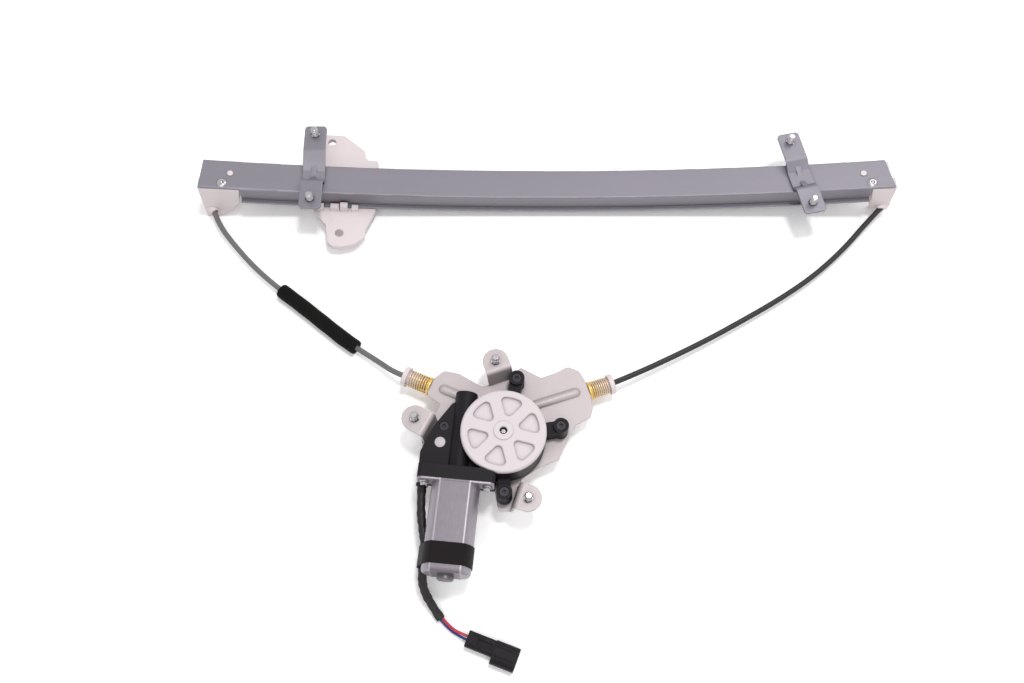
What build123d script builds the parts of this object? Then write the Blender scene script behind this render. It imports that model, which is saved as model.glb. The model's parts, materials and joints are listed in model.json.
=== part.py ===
from build123d import *

import os
from math import asin, atan2, cos, degrees, hypot, pi, radians, sin, sqrt, tan

# Window regulator, single rail, cable driven, lying on its back: X runs along the rail, Y across it,
# Z up from the table. The origin is under the middle of the regulator's outline.

# ---------------------------------------------------------------- driving dimensions, millimetres
# Guide rail: a bowed hat section with its lips turned out
rail_length = 568.0
rail_width = 27.0
rail_depth = 17.0
rail_lip = 3.0
rail_gauge = 1.2
rail_corner = 1.2
rail_bow_radius = 2300.0
rail_y = 138.8
web_height = 24.5  # top of the web at mid-length
right_end_skew = 6.0  # how far each end slants over the width of the rail
left_end_skew = 1.9
left_end_extra = 2.65  # the left end runs on over its cable guide
left_notch = 30.0  # the lower flange stops short of each end to let the cable out
right_notch = 16.0

# Cable guides at the ends of the rail
guide_insert_length = 30.0
guide_insert_short = 3.0  # the insert ends this far above the rail's lips
left_foot_width = 11.0
right_foot_width = 7.6
foot_cut_height = 12.0  # the right foot's front slants back below this height
foot_cut_back = 5.0
guide_step_height = 8.0  # from the table to where the foot widens
guide_waist_height = 20.0
guide_waist_ease = 1.2  # how far the waist stands off square to the rail
guide_flare = 1.5  # the foot is this much further out than the top
guide_corner = 2.5
guide_edge = 1.0
guide_flange_gap = 0.8  # along the rail, to the end of the lower flange
guide_overhang = 4.5  # past the end of the rail
guide_proud = 3.2  # in front of the rail's lower flange
guide_fit = 0.2
guide_back = 11.0  # how far the foot reaches back under the rail
rivet_inset = 15.5
rivet_offset = -8.2
rivet_radius = 2.4
rivet_head_radius = 4.2
rivet_head_height = 1.6
rivet_tail = 1.0
peg_inset = 21.2
peg_offset = 1.2
peg_radius = 2.4
peg_stand = 0.5
socket_wall = 1.5
socket_depth = 4.0
socket_lip = 2.5
front_lean = 4.0  # the guide's front face leans back towards its top, degrees
left_socket_place = (6.3, 0.4, 10.1)  # in from the guide's end, behind its front, above the table
right_socket_place = (2.0, 3.5, 14.0)
left_exit_way = (10.6, -14.6, -0.6)  # the way each conduit leaves its guide
right_exit_way = (-19.0, -17.6, -4.5)

# Cables, conduits and their fittings
cable_radius = 0.75
conduit_radius = 2.25
conduit_fit = 0.25
foam_radius = 6.2
foam_length = 84.0
foam_start = 98.0  # along the left conduit from its guide
cable_depth = 10.0  # under the web
drum_cable_radius = 20.0  # hub to cable centre
cable_height = 15.0
left_cable_angle = 156.5
right_cable_angle = 18.3
left_arm_reach = 70.8  # from the drum's tangent point to the end of each arm
right_arm_reach = 76.0
spring_radius = 7.0
spring_wire = 0.6
spring_coils = 9.0
left_spring_length = 19.7
right_spring_length = 17.0
cap_thickness = 3.8
cap_radius = 8.0
cap_edge = 0.8
sleeve_radius = 5.4  # of the ferrule inside the spring
sleeve_length = 11.0
ferrule_radius = 3.8
ferrule_depth = 16.0  # of its stem inside the drum housing
ferrule_travel = 4.0

# Rail brackets and their studs
strip_width = 18.3
strip_gauge = 2.0
strip_bend = 2.6
strip_corner = 3.0
dart_half_width = 2.2  # stiffening ribs in the brackets' inner bends
dart_reach = 5.0
bracket_height = 41.0  # top of both ends of each bracket
weld_gap = 0.05
left_bracket_x = -194.5
right_bracket_x = 211.3
right_bracket_skew = -12.0
stud_radius = 3.0
stud_head_radius = 6.0
stud_head = 1.8
bracket_stud_length = 8.0
stud_chamfer = 0.8
stud_fit = 0.05
stud_collar = 0.4  # of its weld ring in the plate, wider than the shank
upper_stud_inset = 8.0
lower_stud_inset = 9.0
left_stations = (-32.6, -6.1, -3.8, 7.2, 23.1, 46.6)  # from the rail's centre line, lower end first
right_stations = (-37.0, -13.2, -9.4, 5.4, 14.5, 40.1)

# Glass carrier
carrier_x = -172.0
carrier_plate = 3.4
carrier_fit = 0.5  # between the carrier and the rail's lips
glass_hole_radius = 3.6
slider_length = 44.0
hook_wall = 2.2
hook_turn = 1.0  # how much the hooks narrow and their roots widen
# start, length and height of each hook
hook_places = ((-20.0, 5.5, 2.2), (-8.8, 7.0, 2.2), (-0.6, 6.2, 4.5), (8.8, 5.5, 0.8))
nipple_radius = 2.5
nipple_length = 7.0
nipple_offset = 13.0
slider_top = 4.0  # depth of the slider's top below the web
slider_fit = 0.35
upper_glass_hole = (-11.9, 47.9)
lower_glass_hole = (-0.4, -40.6)
glass_pad_radius = 7.5
glass_pad = 1.2
carrier_rib = 2.0
carrier_rib_wall = 1.8

# Hub of the drum and gear unit, and the pressed plate
hub_x = -35.3
hub_y = -86.45
plate_bottom = 20.0
plate_gauge = 1.5
shaft_hole_radius = 13.0
bead_radius = 4.2
left_bead = (47.0, 59.5)  # from the drum's tangent point, along each cable
right_bead = (33.0, 65.0)
plate_corner = 2.2
arm_corner = 4.5
arm_end_x = 45.0  # the arms' ends lie beyond this, from the hub
arm_end_y = 44.0
ear_radius = 10.0
ear_height = 15.0
ear_stud_length = 8.0
ear_overlap = 4.0
ear_bend = 2.0
upper_ear = (-6.3, 59.9)
left_ear = (-67.1, 13.6)
right_ear = (18.3, -48.0)
plate_hole_radius = 2.3
housing_bosses = ((10.0, 45.9), (43.2, 7.6), (0.65, -43.4))
shoulder_screw = (-44.7, 7.4)

# Drum housing and drum
housing_floor = 2.5
drum_housing_wall = 2.2
drum_gap = 1.0
drum_height = 13.5
drum_flange = 2.0
drum_flange_step = 3.0  # how far the flanges stand past the cable's centre
arm_width = 13.0
cable_bore = 1.5
drum_clear = 9.0  # where a cable is clear of the turns on the drum
shaft_boss_radius = 6.5

# Gear housing, wheel and cover
motor_lean = 5.5
motor_height = 34.0
bowl_clear = 2.7  # around the wheel
bowl_wall = 2.2
bowl_top = 44.5
cover_rim = 0.5  # wider than the bowl
cover_thickness = 3.5
cover_gap = 0.3
spoke_half_width = 4.5
sector_outer_radius = 26.5
sector_depth = 2.4
sector_edge = 1.0
hub_disc_radius = 7.2
hub_disc_height = 0.6
sector_phase = 15.0
sector_corner = 3.0
cover_edge = 1.8
cover_hole = 3.0
spigot_depth = 2.0
spigot_wall = 1.8
half_sector = 30.0  # degrees
boss_radius = 5.9
gear_floor = 2.5
boss_top = 37.5
screw_head_radius = 3.6
screw_recess = 2.5
screw_radius = 2.0
screw_sunk = 0.5  # the heads lie this far below the bosses
screw_socket_radius = 1.6
boss_arm_width = 9.5
boss_arm_drop = 2.5  # below the tops of the bosses
shoulder_top = 37.0
shoulder_corner = 4.0
tunnel_width = 16.5
tunnel_bore = 6.0
tunnel_start = -30.5
tunnel_bore_start = -26.0
block_start = 30.0
block_top = 48.4
block_corner = 3.0
hub_boss_radius = 7.0
hub_boss_height = 4.0
vent_place = (-47.4, -5.4)
vent_radius = 4.0
vent_seat = 2.0
vent_dome = 0.7
grommet_ear = 7.9  # past the can's side
grommet_up = -7.0
grommet_radius = 4.6
grommet_length = 2.2
wheel_teeth = 73
wheel_tip_radius = 26.6
wheel_tooth = 1.4
wheel_width = 9.0
worm_gap = 0.3
worm_radius = 4.1
shaft_radius = 4.0
running_fit = 0.05
shaft_bottom = 1.2
shaft_top = 42.0
pin_radius = 2.0
pin_top = 46.2
damper_inner = 9.0
damper_outer = 20.0
damper_gap = 0.3
damper_rib = 3.0
damper_count = 3

# Motor, along its axis from the point nearest the hub
flange_station = 40.0
can_end_station = 107.0
can_radius = 18.0
can_corner = 1.5
can_edge = 2.5
can_half_height = 14.0
can_wall = 1.2
flange_ear = 10.5  # how far the flange reaches past the can
flange_screw_ear = 5.0  # past the can to each screw
flange_gauge = 1.5
flange_top = 48.2
flange_bottom = 33.0
flange_corner = 4.0
flange_screw_height = 3.5
boss_length = 3.9
boss_edge = 1.2
bush_radius = 5.0
armature_shaft_radius = 2.0
shaft_end_gap = 1.0
core_radius = 11.3
magnet_inner_radius = 12.0
magnet_half_angle = 44.0
magnet_overlap = 1.5
core_start = 60.0
core_end = 88.0
winding_radius = 10.0
winding_length = 4.5
commutator_radius = 5.5
commutator_start = 46.0
commutator_end = 54.5
brush_width = 3.5
brush_reach = 5.0
brush_short = 2.0
holder_gauge = 3.0
holder_clear = 1.5  # round the commutator
holder_inset = 1.0
bush_length = 5.0
rear_bush_length = 3.6
front_bush_start = 24.0
worm_half_length = 14.0
motor_clear = 0.3
tape_start = 86.0
tape_length = 15.5
tape_thickness = 0.7
lead_lie = 32.5  # the lead lies this many degrees below the can's side
lead_gap = 0.35
lead_fit = 0.8  # around the lead inside the tape

# Lead and plug
lead_radius = 3.0
wire_radius = 0.95
plug_angle = -20.9
plug_rear_place = (-61.3, -230.1)
shroud_offset = 2.0  # of the shroud, to the body's lower side
plug_body_length = 21.0
plug_shroud_length = 18.0
plug_shroud_wall = 1.3
plug_height = 6.0  # of its axis
plug_width = 17.5
plug_body_width = 12.0
plug_body_corner = 2.0
shroud_corner = 4.5
core_corner = 2.0
plug_body_height = 9.0
plug_shroud_height = 12.0
wire_spacing = 1.6
wire_seat = 6.2
core_length = 8.0
core_width = 10.5
core_height = 4.4
shroud_floor = 3.0
seal_length = 2.5
seal_thickness = 1.6
terminal_spacing = 2.8
terminal_width = 2.8
terminal_thickness = 0.8
terminal_short = 0.5  # behind the end of the core
latch_start = 8.0  # recess in the top of the plug's body
latch_length = 11.0
latch_width = 4.4
latch_depth = 1.4

# ---------------------------------------------------------------- derived values
half_rail = rail_length / 2
bow_centre_z = web_height + rail_bow_radius
bow_axis = Axis((0, rail_y, bow_centre_z), (0, -1, 0))
plate_top = plate_bottom + plate_gauge
gear_offset = wheel_tip_radius + worm_gap + worm_radius  # hub to the motor's axis
bowl_radius = wheel_tip_radius + bowl_clear + bowl_wall
cover_radius = bowl_radius + cover_rim
flange_width = 2 * (can_radius + flange_ear)

os.makedirs("parts", exist_ok=True)


def save(part, node):
    """Label a finished piece and write it as its own STEP file."""
    part.label = node
    export_step(part, f"parts/{node}.step")


def web_top(x):
    """Height of the web's outer face at a distance along the rail."""
    return bow_centre_z - sqrt(rail_bow_radius**2 - x**2)


def bow_angle(x):
    """Angle about the bow's centre, in degrees, from mid-rail to a place along the rail."""
    return degrees(asin(x / rail_bow_radius))


def web_plane(x, y=rail_y, depth=0.0):
    """Plane on the web's top at a place: its x runs along the rail, its z points at the bow's centre."""
    lean = radians(bow_angle(x))
    across = (-sin(lean), 0, cos(lean))
    origin = (x - depth * across[0], y, web_top(x) - depth * across[2])
    return Plane(origin=origin, x_dir=(cos(lean), 0, sin(lean)), z_dir=across)


def rail_section(x):
    """Plane square to the rail at x: its x runs along +Y, its y points at the bow's centre, 0 at the web."""
    lean = radians(bow_angle(x))
    return Plane(origin=(x, rail_y, web_top(x)), x_dir=(0, 1, 0), z_dir=(cos(lean), 0, sin(lean)))


def at_hub(x, y, z=0.0):
    """A point given from the hub, in the regulator's frame."""
    return (hub_x + x, hub_y + y, z)


def hub_plane(z):
    """Level plane at height z with its origin on the hub's axis."""
    return Plane(origin=at_hub(0, 0, z))


def cable_line(angle, station=0.0):
    """Plane square to a cable where it leaves the drum, station mm out from its tangent point."""
    c, s = cos(radians(angle)), sin(radians(angle))
    side = 1 if c < 0 else -1
    foot = (side * s * drum_cable_radius, -side * c * drum_cable_radius)
    origin = at_hub(foot[0] + c * station, foot[1] + s * station, cable_height)
    return Plane(origin=origin, x_dir=(-s, c, 0), z_dir=(c, s, 0))


lean_sin, lean_cos = sin(radians(motor_lean)), cos(radians(motor_lean))
worm_foot = at_hub(-gear_offset * lean_cos, gear_offset * lean_sin, motor_height)
motor_plane = Plane(origin=worm_foot, x_dir=(lean_cos, -lean_sin, 0), z_dir=(-lean_sin, -lean_cos, 0))


def motor_at(station):
    """Plane square to the motor's axis: its x points right, its y up."""
    return motor_plane.offset(station)


def motor_point(station, across=0.0, up=0.0):
    """A point by its place along, right of and above the motor's axis."""
    return motor_plane.from_local_coords((across, up, station))


def disc(plane, radius, height, hole=0.0):
    """A plain round piece, or a ring when it has a hole."""
    with BuildPart() as piece:
        with BuildSketch(plane):
            Circle(radius)
            if hole:
                Circle(hole, mode=Mode.SUBTRACT)
        extrude(amount=height)
    return piece.part


def spin_plane(plane):
    """Plane through another's z axis: its x is that plane's x, and its y is that axis, ready to revolve about."""
    return Plane(origin=plane.origin, x_dir=plane.x_dir, z_dir=plane.y_dir * -1)


def dome(plane, radius, height):
    """A low domed head standing on a plane."""
    sphere_radius = (radius**2 + height**2) / (2 * height)
    half_way = asin(radius / sphere_radius) / 2
    shoulder = (sphere_radius * sin(half_way), height - sphere_radius * (1 - cos(half_way)))
    with BuildPart() as head:
        with BuildSketch(spin_plane(plane)):
            with BuildLine():
                ThreePointArc((radius, 0), shoulder, (0, height))
                Polyline((0, height), (0, 0), (radius, 0))
            make_face()
        revolve(axis=Axis(plane.origin, plane.z_dir))
    return head.part


def cord_radii(points):
    """The arc at each corner of a cord's route: 0.45 of the shorter run over the tangent of half the turn."""
    radii = []
    for before, here, after in zip(points, points[1:], points[2:]):
        run_in, run_out = Vector(*here) - Vector(*before), Vector(*after) - Vector(*here)
        shorter = min(run_in.length, run_out.length)
        radii.append(0.45 * shorter / tan(radians(run_in.get_angle(run_out)) / 2))
    return radii


def cord(points, radius, node, hole=0.0):
    """A cord's tube along straight runs joined by tangent arcs."""
    radii = cord_radii(points)
    first = Vector(*points[1]) - Vector(*points[0])
    with BuildPart() as tube:
        with BuildLine() as route:
            FilletPolyline(*points, radius=radii)
        with BuildSketch(Plane(origin=points[0], z_dir=first)):
            Circle(radius)
            if hole:
                Circle(hole, mode=Mode.SUBTRACT)
        sweep(path=route.wire())
    length = route.wire().length
    expected = pi * (radius**2 - hole**2) * length
    print(f"{node}: length {length:.1f}, smallest radius {min(radii):.1f},", end=" ")
    print(f"volume {tube.part.volume:.0f} against {expected:.0f}")
    save(tube.part, node)
    return length


# ---------------------------------------------------------------- guide rail
section_half = rail_width / 2
lip_half = section_half + rail_lip
inner_half = section_half - rail_gauge
left_end = -half_rail - left_end_extra
left_cut = Plane(origin=(left_end, rail_y, 0), x_dir=(0, 0, 1), z_dir=(-rail_width, left_end_skew, 0))
right_cut = Plane(origin=(half_rail, rail_y, 0), x_dir=(0, 0, 1), z_dir=(rail_width, right_end_skew, 0))


def along_bow(x_from, x_to):
    """Angle to revolve about the bow's axis between two places along the rail."""
    return bow_angle(x_to) - bow_angle(x_from)


with BuildPart() as guide_rail:
    with BuildSketch(rail_section(left_end - left_end_skew)):
        with Locations((0, -rail_depth / 2)):
            RectangleRounded(rail_width, rail_depth, rail_corner)
        with Locations((0, -rail_depth / 2 - rail_corner)):
            Rectangle(rail_width, rail_depth - 2 * rail_corner)
        with Locations((0, rail_gauge / 2 - rail_depth)):
            Rectangle(2 * lip_half, rail_gauge)
        with Locations((0, -rail_gauge - rail_depth / 2)):
            Rectangle(2 * inner_half, rail_depth, mode=Mode.SUBTRACT)
    revolve(axis=bow_axis, revolution_arc=along_bow(left_end - left_end_skew, half_rail + right_end_skew))
    left_notch_ends = (left_end - 2 * left_end_skew, left_notch - half_rail)
    right_notch_ends = (half_rail - right_notch, half_rail + 2 * right_end_skew)
    for x_from, x_to in (left_notch_ends, right_notch_ends):
        with BuildSketch(rail_section(x_from)):
            with Locations((-(inner_half + lip_half) / 2 - 1, -rail_depth / 2 - rail_corner)):
                Rectangle(lip_half - inner_half + 2, rail_depth)
        revolve(axis=bow_axis, revolution_arc=along_bow(x_from, x_to), mode=Mode.SUBTRACT)
    split(bisect_by=right_cut, keep=Keep.BOTTOM)
    split(bisect_by=left_cut, keep=Keep.BOTTOM)
    for side in (-1, 1):
        rivet_place = web_plane(side * (half_rail - rivet_inset), rail_y + rivet_offset)
        peg_place = web_plane(side * (half_rail - peg_inset), rail_y + peg_offset)
        for place, hole_radius in ((rivet_place, rivet_radius), (peg_place, peg_radius)):
            with BuildSketch(place):
                Circle(hole_radius + running_fit)
            extrude(amount=rail_gauge * 2, both=True, mode=Mode.SUBTRACT)
save(guide_rail.part, "guide_rail")

# ---------------------------------------------------------------- cable guides and their rivets
insert_top = rail_gauge + guide_fit
insert_bottom = rail_depth - guide_insert_short
front_y = rail_y - section_half - guide_proud


def socket_at(side, place):
    """Where a conduit ends in its guide, from its place in the guide."""
    inward, behind, up = place
    return Vector(side * (half_rail + guide_overhang - inward), front_y + behind, up)


def cable_guide(side, notch, foot_width, socket, way):
    """The moulded shoe that closes an end of the rail and turns the cable out of it."""
    lean = radians(front_lean)
    front = Plane(origin=(0, front_y, 0), x_dir=(1, 0, 0), z_dir=(0, -cos(lean), sin(lean)))
    insert_end = half_rail - guide_insert_length
    inner_x = half_rail - notch + guide_flange_gap
    waist_drop = web_top(inner_x) - guide_waist_height
    waist_x = inner_x + waist_drop * tan(radians(bow_angle(inner_x))) + guide_waist_ease
    top_x = half_rail + guide_overhang
    outer_x = top_x + guide_flare
    foot_x = outer_x - foot_width
    with BuildPart() as guide:
        with BuildSketch(front):
            with BuildLine():
                Polyline(
                    (side * top_x, web_top(half_rail) - rail_corner - 2 * guide_fit),
                    (side * outer_x, 0),
                    (side * foot_x, 0),
                    (side * (foot_x - foot_width), guide_step_height),
                    (side * waist_x, guide_waist_height),
                    (side * inner_x, web_top(inner_x) - rail_corner - 2 * guide_fit),
                    close=True,
                )
            make_face()
            fillet(vertices().group_by(Axis.Z)[1:], guide_corner)
        extrude(amount=-guide_back)
        fillet(faces().sort_by(Axis.Y)[0].edges(), guide_edge)
        insert_from, insert_to = sorted((side * insert_end, side * half_rail))
        with BuildSketch(rail_section(insert_from)):
            with Locations((0, -(insert_top + insert_bottom) / 2)):
                Rectangle(2 * (inner_half - guide_fit), insert_bottom - insert_top)
        revolve(axis=bow_axis, revolution_arc=along_bow(insert_from, insert_to))
        mouth = (front_y - socket.Y) / way.Y + socket_lip
        with BuildSketch(Plane(origin=socket - way * socket_depth, z_dir=way)):
            Circle(conduit_radius + conduit_fit + socket_wall)
        extrude(amount=socket_depth + mouth)
        with BuildSketch(Plane(origin=socket, z_dir=way)):
            Circle(conduit_radius + conduit_fit)
        extrude(amount=mouth + socket_depth, mode=Mode.SUBTRACT)
        split(bisect_by=Plane.XY, keep=Keep.TOP)
        split(bisect_by=Plane(origin=(side * outer_x, 0, 0), z_dir=(side, 0, 0)), keep=Keep.BOTTOM)
        with BuildSketch(web_plane(side * (half_rail - peg_inset), rail_y + peg_offset, insert_bottom)):
            Circle(peg_radius)
        extrude(amount=insert_bottom + peg_stand)
        rivet_place = web_plane(side * (half_rail - rivet_inset), rail_y + rivet_offset)
        with BuildSketch(rivet_place):
            Circle(rivet_radius + running_fit)
        extrude(amount=-2 * rail_depth, mode=Mode.SUBTRACT)
        with BuildSketch(rivet_place.offset(-insert_bottom)):
            Circle(rivet_head_radius + guide_fit)
        extrude(amount=-2 * rail_depth, mode=Mode.SUBTRACT)
    return guide.part


left_socket = socket_at(-1, left_socket_place)
right_socket = socket_at(1, right_socket_place)
left_way = Vector(*left_exit_way).normalized()
right_way = Vector(*right_exit_way).normalized()
save(cable_guide(-1, left_notch, left_foot_width, left_socket, left_way), "left_cable_guide")

foot_cut = Plane(
    origin=(0, front_y + foot_cut_back, 0),
    x_dir=(1, 0, 0),
    z_dir=(0, -foot_cut_height, -foot_cut_back),
)
with BuildPart() as right_cable_guide:
    add(cable_guide(1, right_notch, right_foot_width, right_socket, right_way))
    split(bisect_by=foot_cut, keep=Keep.BOTTOM)
save(right_cable_guide.part, "right_cable_guide")

with BuildPart() as guide_rivets:
    for side in (-1, 1):
        rivet_place = web_plane(side * (half_rail - rivet_inset), rail_y + rivet_offset)
        with BuildSketch(rivet_place.offset(-insert_bottom)):
            Circle(rivet_radius)
        extrude(amount=insert_bottom + weld_gap)
        add(dome(rivet_place.offset(weld_gap / 2), rivet_head_radius, rivet_head_height))
        add(disc(rivet_place.offset(-insert_bottom - rivet_tail), rivet_head_radius, rivet_tail))
save(guide_rivets.part, "guide_rivets")

# ---------------------------------------------------------------- rail brackets and their studs


def bent_outline(points, gauge, bend):
    """A bent strip's section, its underside through the points, as a face in the sketch plane's own axes."""
    with BuildSketch() as outline:
        with BuildLine():
            FilletPolyline(*points, radius=bend)
            offset(amount=gauge, side=Side.LEFT)
        make_face()
    return outline.sketch


def stud(plane, gauge, length):
    """A weld stud: its head under a plate gauge thick whose top is the plane, its shank standing length proud."""
    with BuildPart() as piece:
        with BuildSketch(plane.offset(-gauge - stud_head)):
            Circle(stud_head_radius)
        extrude(amount=stud_head)
        with BuildSketch(plane.offset(-gauge)):
            Circle(stud_radius + stud_collar)
        extrude(amount=gauge)
        with BuildSketch(plane):
            Circle(stud_radius)
        extrude(amount=length)
        chamfer(faces().sort_by(Axis.Z)[-1].edges(), stud_chamfer)
    return piece.part


def dart(seat, bend, inward):
    """Section of the rib pressed into an inner bend, from the seat's top to the ramp's."""
    ramp = (bend - seat).normalized()
    rise = Vector(inward * ramp.Y, abs(ramp.X))
    with BuildSketch() as section:
        with BuildLine():
            Polyline(
                tuple(seat + Vector(0, strip_gauge / 2)),
                tuple(seat + Vector(inward * dart_reach, strip_gauge)),
                tuple(seat + ramp * dart_reach + rise * strip_gauge),
                close=True,
            )
        make_face()
    return section.sketch


def rail_bracket(middle, along, across, stations):
    """A strip over the rail, level at both ends and seated on the sloping web between them."""
    lower_end, lower_bend, lower_seat, upper_seat, upper_bend, upper_end = stations
    plate_z = bracket_height - strip_gauge
    with BuildPart() as bracket:
        for side in (-1, 1):
            edge = middle + across * side * strip_width / 2
            points = [(lower_end, plate_z), (lower_bend, plate_z)]
            for u in (lower_seat, upper_seat):
                points.append((u, web_top((edge + along * u).X) + weld_gap))
            points += [(upper_bend, plate_z), (upper_end, plate_z)]
            with BuildSketch(Plane(origin=edge, x_dir=along, z_dir=across)):
                add(bent_outline(points, strip_gauge, strip_bend))
        loft(ruled=True)
        fillet(edges().filter_by(Axis.Z), strip_corner)
        for seat, bend, inward in ((lower_seat, lower_bend, 1), (upper_seat, upper_bend, -1)):
            seat_point = Vector(seat, web_top((middle + along * seat).X) + weld_gap)
            with BuildSketch(Plane(origin=middle, x_dir=along, z_dir=across)):
                add(dart(seat_point, Vector(bend, plate_z), inward))
            extrude(amount=dart_half_width, both=True)
        for u in (lower_end + lower_stud_inset, upper_end - upper_stud_inset):
            with BuildSketch(Plane(origin=middle + along * u)):
                Circle(stud_radius + stud_collar + stud_fit)
            extrude(amount=bracket_height + 1, mode=Mode.SUBTRACT)
    return bracket.part


left_middle = Vector(left_bracket_x, rail_y, 0)
left_along = Vector(0, 1, 0)
left_across = Vector(1, 0, 0)
right_middle = Vector(right_bracket_x, rail_y, 0)
right_along = left_along.rotate(Axis.Z, -right_bracket_skew)
right_across = left_across.rotate(Axis.Z, -right_bracket_skew)
save(rail_bracket(left_middle, left_along, left_across, left_stations), "left_rail_bracket")
save(rail_bracket(right_middle, right_along, right_across, right_stations), "right_rail_bracket")

with BuildPart() as bracket_studs:
    for middle, along, stations in (
        (left_middle, left_along, left_stations),
        (right_middle, right_along, right_stations),
    ):
        for u in (stations[0] + lower_stud_inset, stations[-1] - upper_stud_inset):
            place = middle + along * u
            top = Plane(origin=(place.X, place.Y, bracket_height))
            add(stud(top, strip_gauge, bracket_stud_length))
save(bracket_studs.part, "bracket_studs")

# ---------------------------------------------------------------- the cable along the rail
run_end = half_rail - guide_insert_length - guide_fit

with BuildPart() as rail_cable:
    with BuildSketch(rail_section(-run_end)):
        with Locations((0, -cable_depth)):
            Circle(cable_radius)
    revolve(axis=bow_axis, revolution_arc=along_bow(-run_end, run_end))
save(rail_cable.part, "rail_cable")

# ---------------------------------------------------------------- glass carrier, square to the rail
carrier_frame = web_plane(carrier_x)
carrier_section = Plane(origin=carrier_frame.origin, x_dir=(0, 1, 0), z_dir=carrier_frame.x_dir)
carrier_top = rail_depth + carrier_fit  # depth of the plate's top below the web
groove_half = cable_radius + 0.35
nipple_pocket = nipple_radius + 0.15


def hook_profile(side, height):
    """Section of a hook that rises outside a lip of the rail and turns in over it."""
    outside = lip_half + carrier_fit
    over = section_half + carrier_fit
    underside = -rail_depth + rail_gauge + carrier_fit
    with BuildSketch() as profile:
        with BuildLine():
            Polyline(
                (side * outside, -carrier_top - 1),
                (side * outside, underside),
                (side * over, underside),
                (side * (over + hook_turn), underside + height),
                (side * (outside + hook_wall), underside + height),
                (side * (outside + hook_wall + hook_turn), -carrier_top - 1),
                close=True,
            )
        make_face()
    return profile.sketch


with BuildPart() as window_carrier:
    with BuildSketch(carrier_frame.offset(-carrier_top)) as carrier_outline:
        with BuildLine():
            Polyline(
                (-28.6, -15.8), (-25.5, -17.4), (-12.0, -33.2), (-9.8, -49.6), (-5.5, -53.0),
                (2.1, -53.4), (12.8, -50.7), (21.2, -43.0), (20.8, -37.4), (28.6, -18.3),
                (29.0, 16.0), (29.8, 23.7), (28.4, 31.4), (21.2, 31.0), (17.9, 34.0),
                (17.0, 40.6), (-1.8, 55.55), (-22.8, 55.55), (-26.0, 40.0), (-28.6, 16.0), close=True,
            )
        make_face()
        fillet(vertices(), 1.2)
    extrude(amount=-carrier_plate)
    with BuildSketch(carrier_frame.offset(-carrier_top - carrier_plate)):
        add(carrier_outline.faces()[0].moved(Location(carrier_frame.z_dir * -carrier_plate)))
        offset(amount=-carrier_rib_wall, mode=Mode.SUBTRACT)
        Rectangle(slider_length, carrier_rib_wall)
        Rectangle(carrier_rib_wall, 2 * section_half)
    extrude(amount=-carrier_rib)
    with BuildSketch(carrier_frame.offset(-carrier_top - carrier_plate / 2)):
        Rectangle(slider_length, 2 * (inner_half - slider_fit))
    extrude(amount=carrier_top + carrier_plate / 2 - slider_top)
    for start, length, height in hook_places:
        for side in (-1, 1):
            with BuildSketch(carrier_section.offset(start)):
                add(hook_profile(side, height))
            extrude(amount=length)
    for x, y in (upper_glass_hole, lower_glass_hole):
        with BuildSketch(carrier_frame.offset(-carrier_top)):
            with Locations((x, y)):
                Circle(glass_pad_radius)
        extrude(amount=-carrier_plate - glass_pad)
        with BuildSketch(carrier_frame):
            with Locations((x, y)):
                Circle(glass_hole_radius)
        extrude(amount=-2 * carrier_top, mode=Mode.SUBTRACT)
    with BuildSketch(carrier_frame.offset(-slider_top)):
        Rectangle(slider_length + 1, 2 * groove_half)
    extrude(amount=slider_top - cable_depth - groove_half, mode=Mode.SUBTRACT)
    with BuildSketch(carrier_frame.offset(-slider_top)):
        with Locations((-nipple_offset, 0), (nipple_offset, 0)):
            Rectangle(nipple_length + 0.3, 2 * nipple_pocket)
    extrude(amount=slider_top - cable_depth - nipple_pocket, mode=Mode.SUBTRACT)
save(window_carrier.part, "window_carrier")

with BuildPart() as cable_nipples:
    for x in (-nipple_offset, nipple_offset):
        with BuildSketch(carrier_section.offset(x - nipple_length / 2)):
            with Locations((0, -cable_depth)):
                Circle(nipple_radius)
                Circle(groove_half, mode=Mode.SUBTRACT)
        extrude(amount=nipple_length)
save(cable_nipples.part, "cable_nipples")

# ---------------------------------------------------------------- pressed plate with its raised ears


def bead(angle, station_from, station_to, radius):
    """The rounded pressing over a cable, as the part of a capsule above the plate's underside."""
    start = cable_line(angle, station_from)
    lift = Vector(0, 0, plate_bottom - cable_height)
    with BuildPart() as pressing:
        with BuildSketch(Plane(origin=start.origin + lift, z_dir=start.z_dir)):
            Circle(radius)
        extrude(amount=station_to - station_from)
        for station in (station_from, station_to):
            with Locations(cable_line(angle, station).origin + lift):
                Sphere(radius)
        split(bisect_by=Plane.XY.offset(plate_bottom), keep=Keep.TOP)
    return pressing.part


def at_arm_end(corner):
    """Whether a corner of the plate's outline is at the end of one of its two arms."""
    return corner.Y > arm_end_y and abs(corner.X) > arm_end_x


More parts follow.
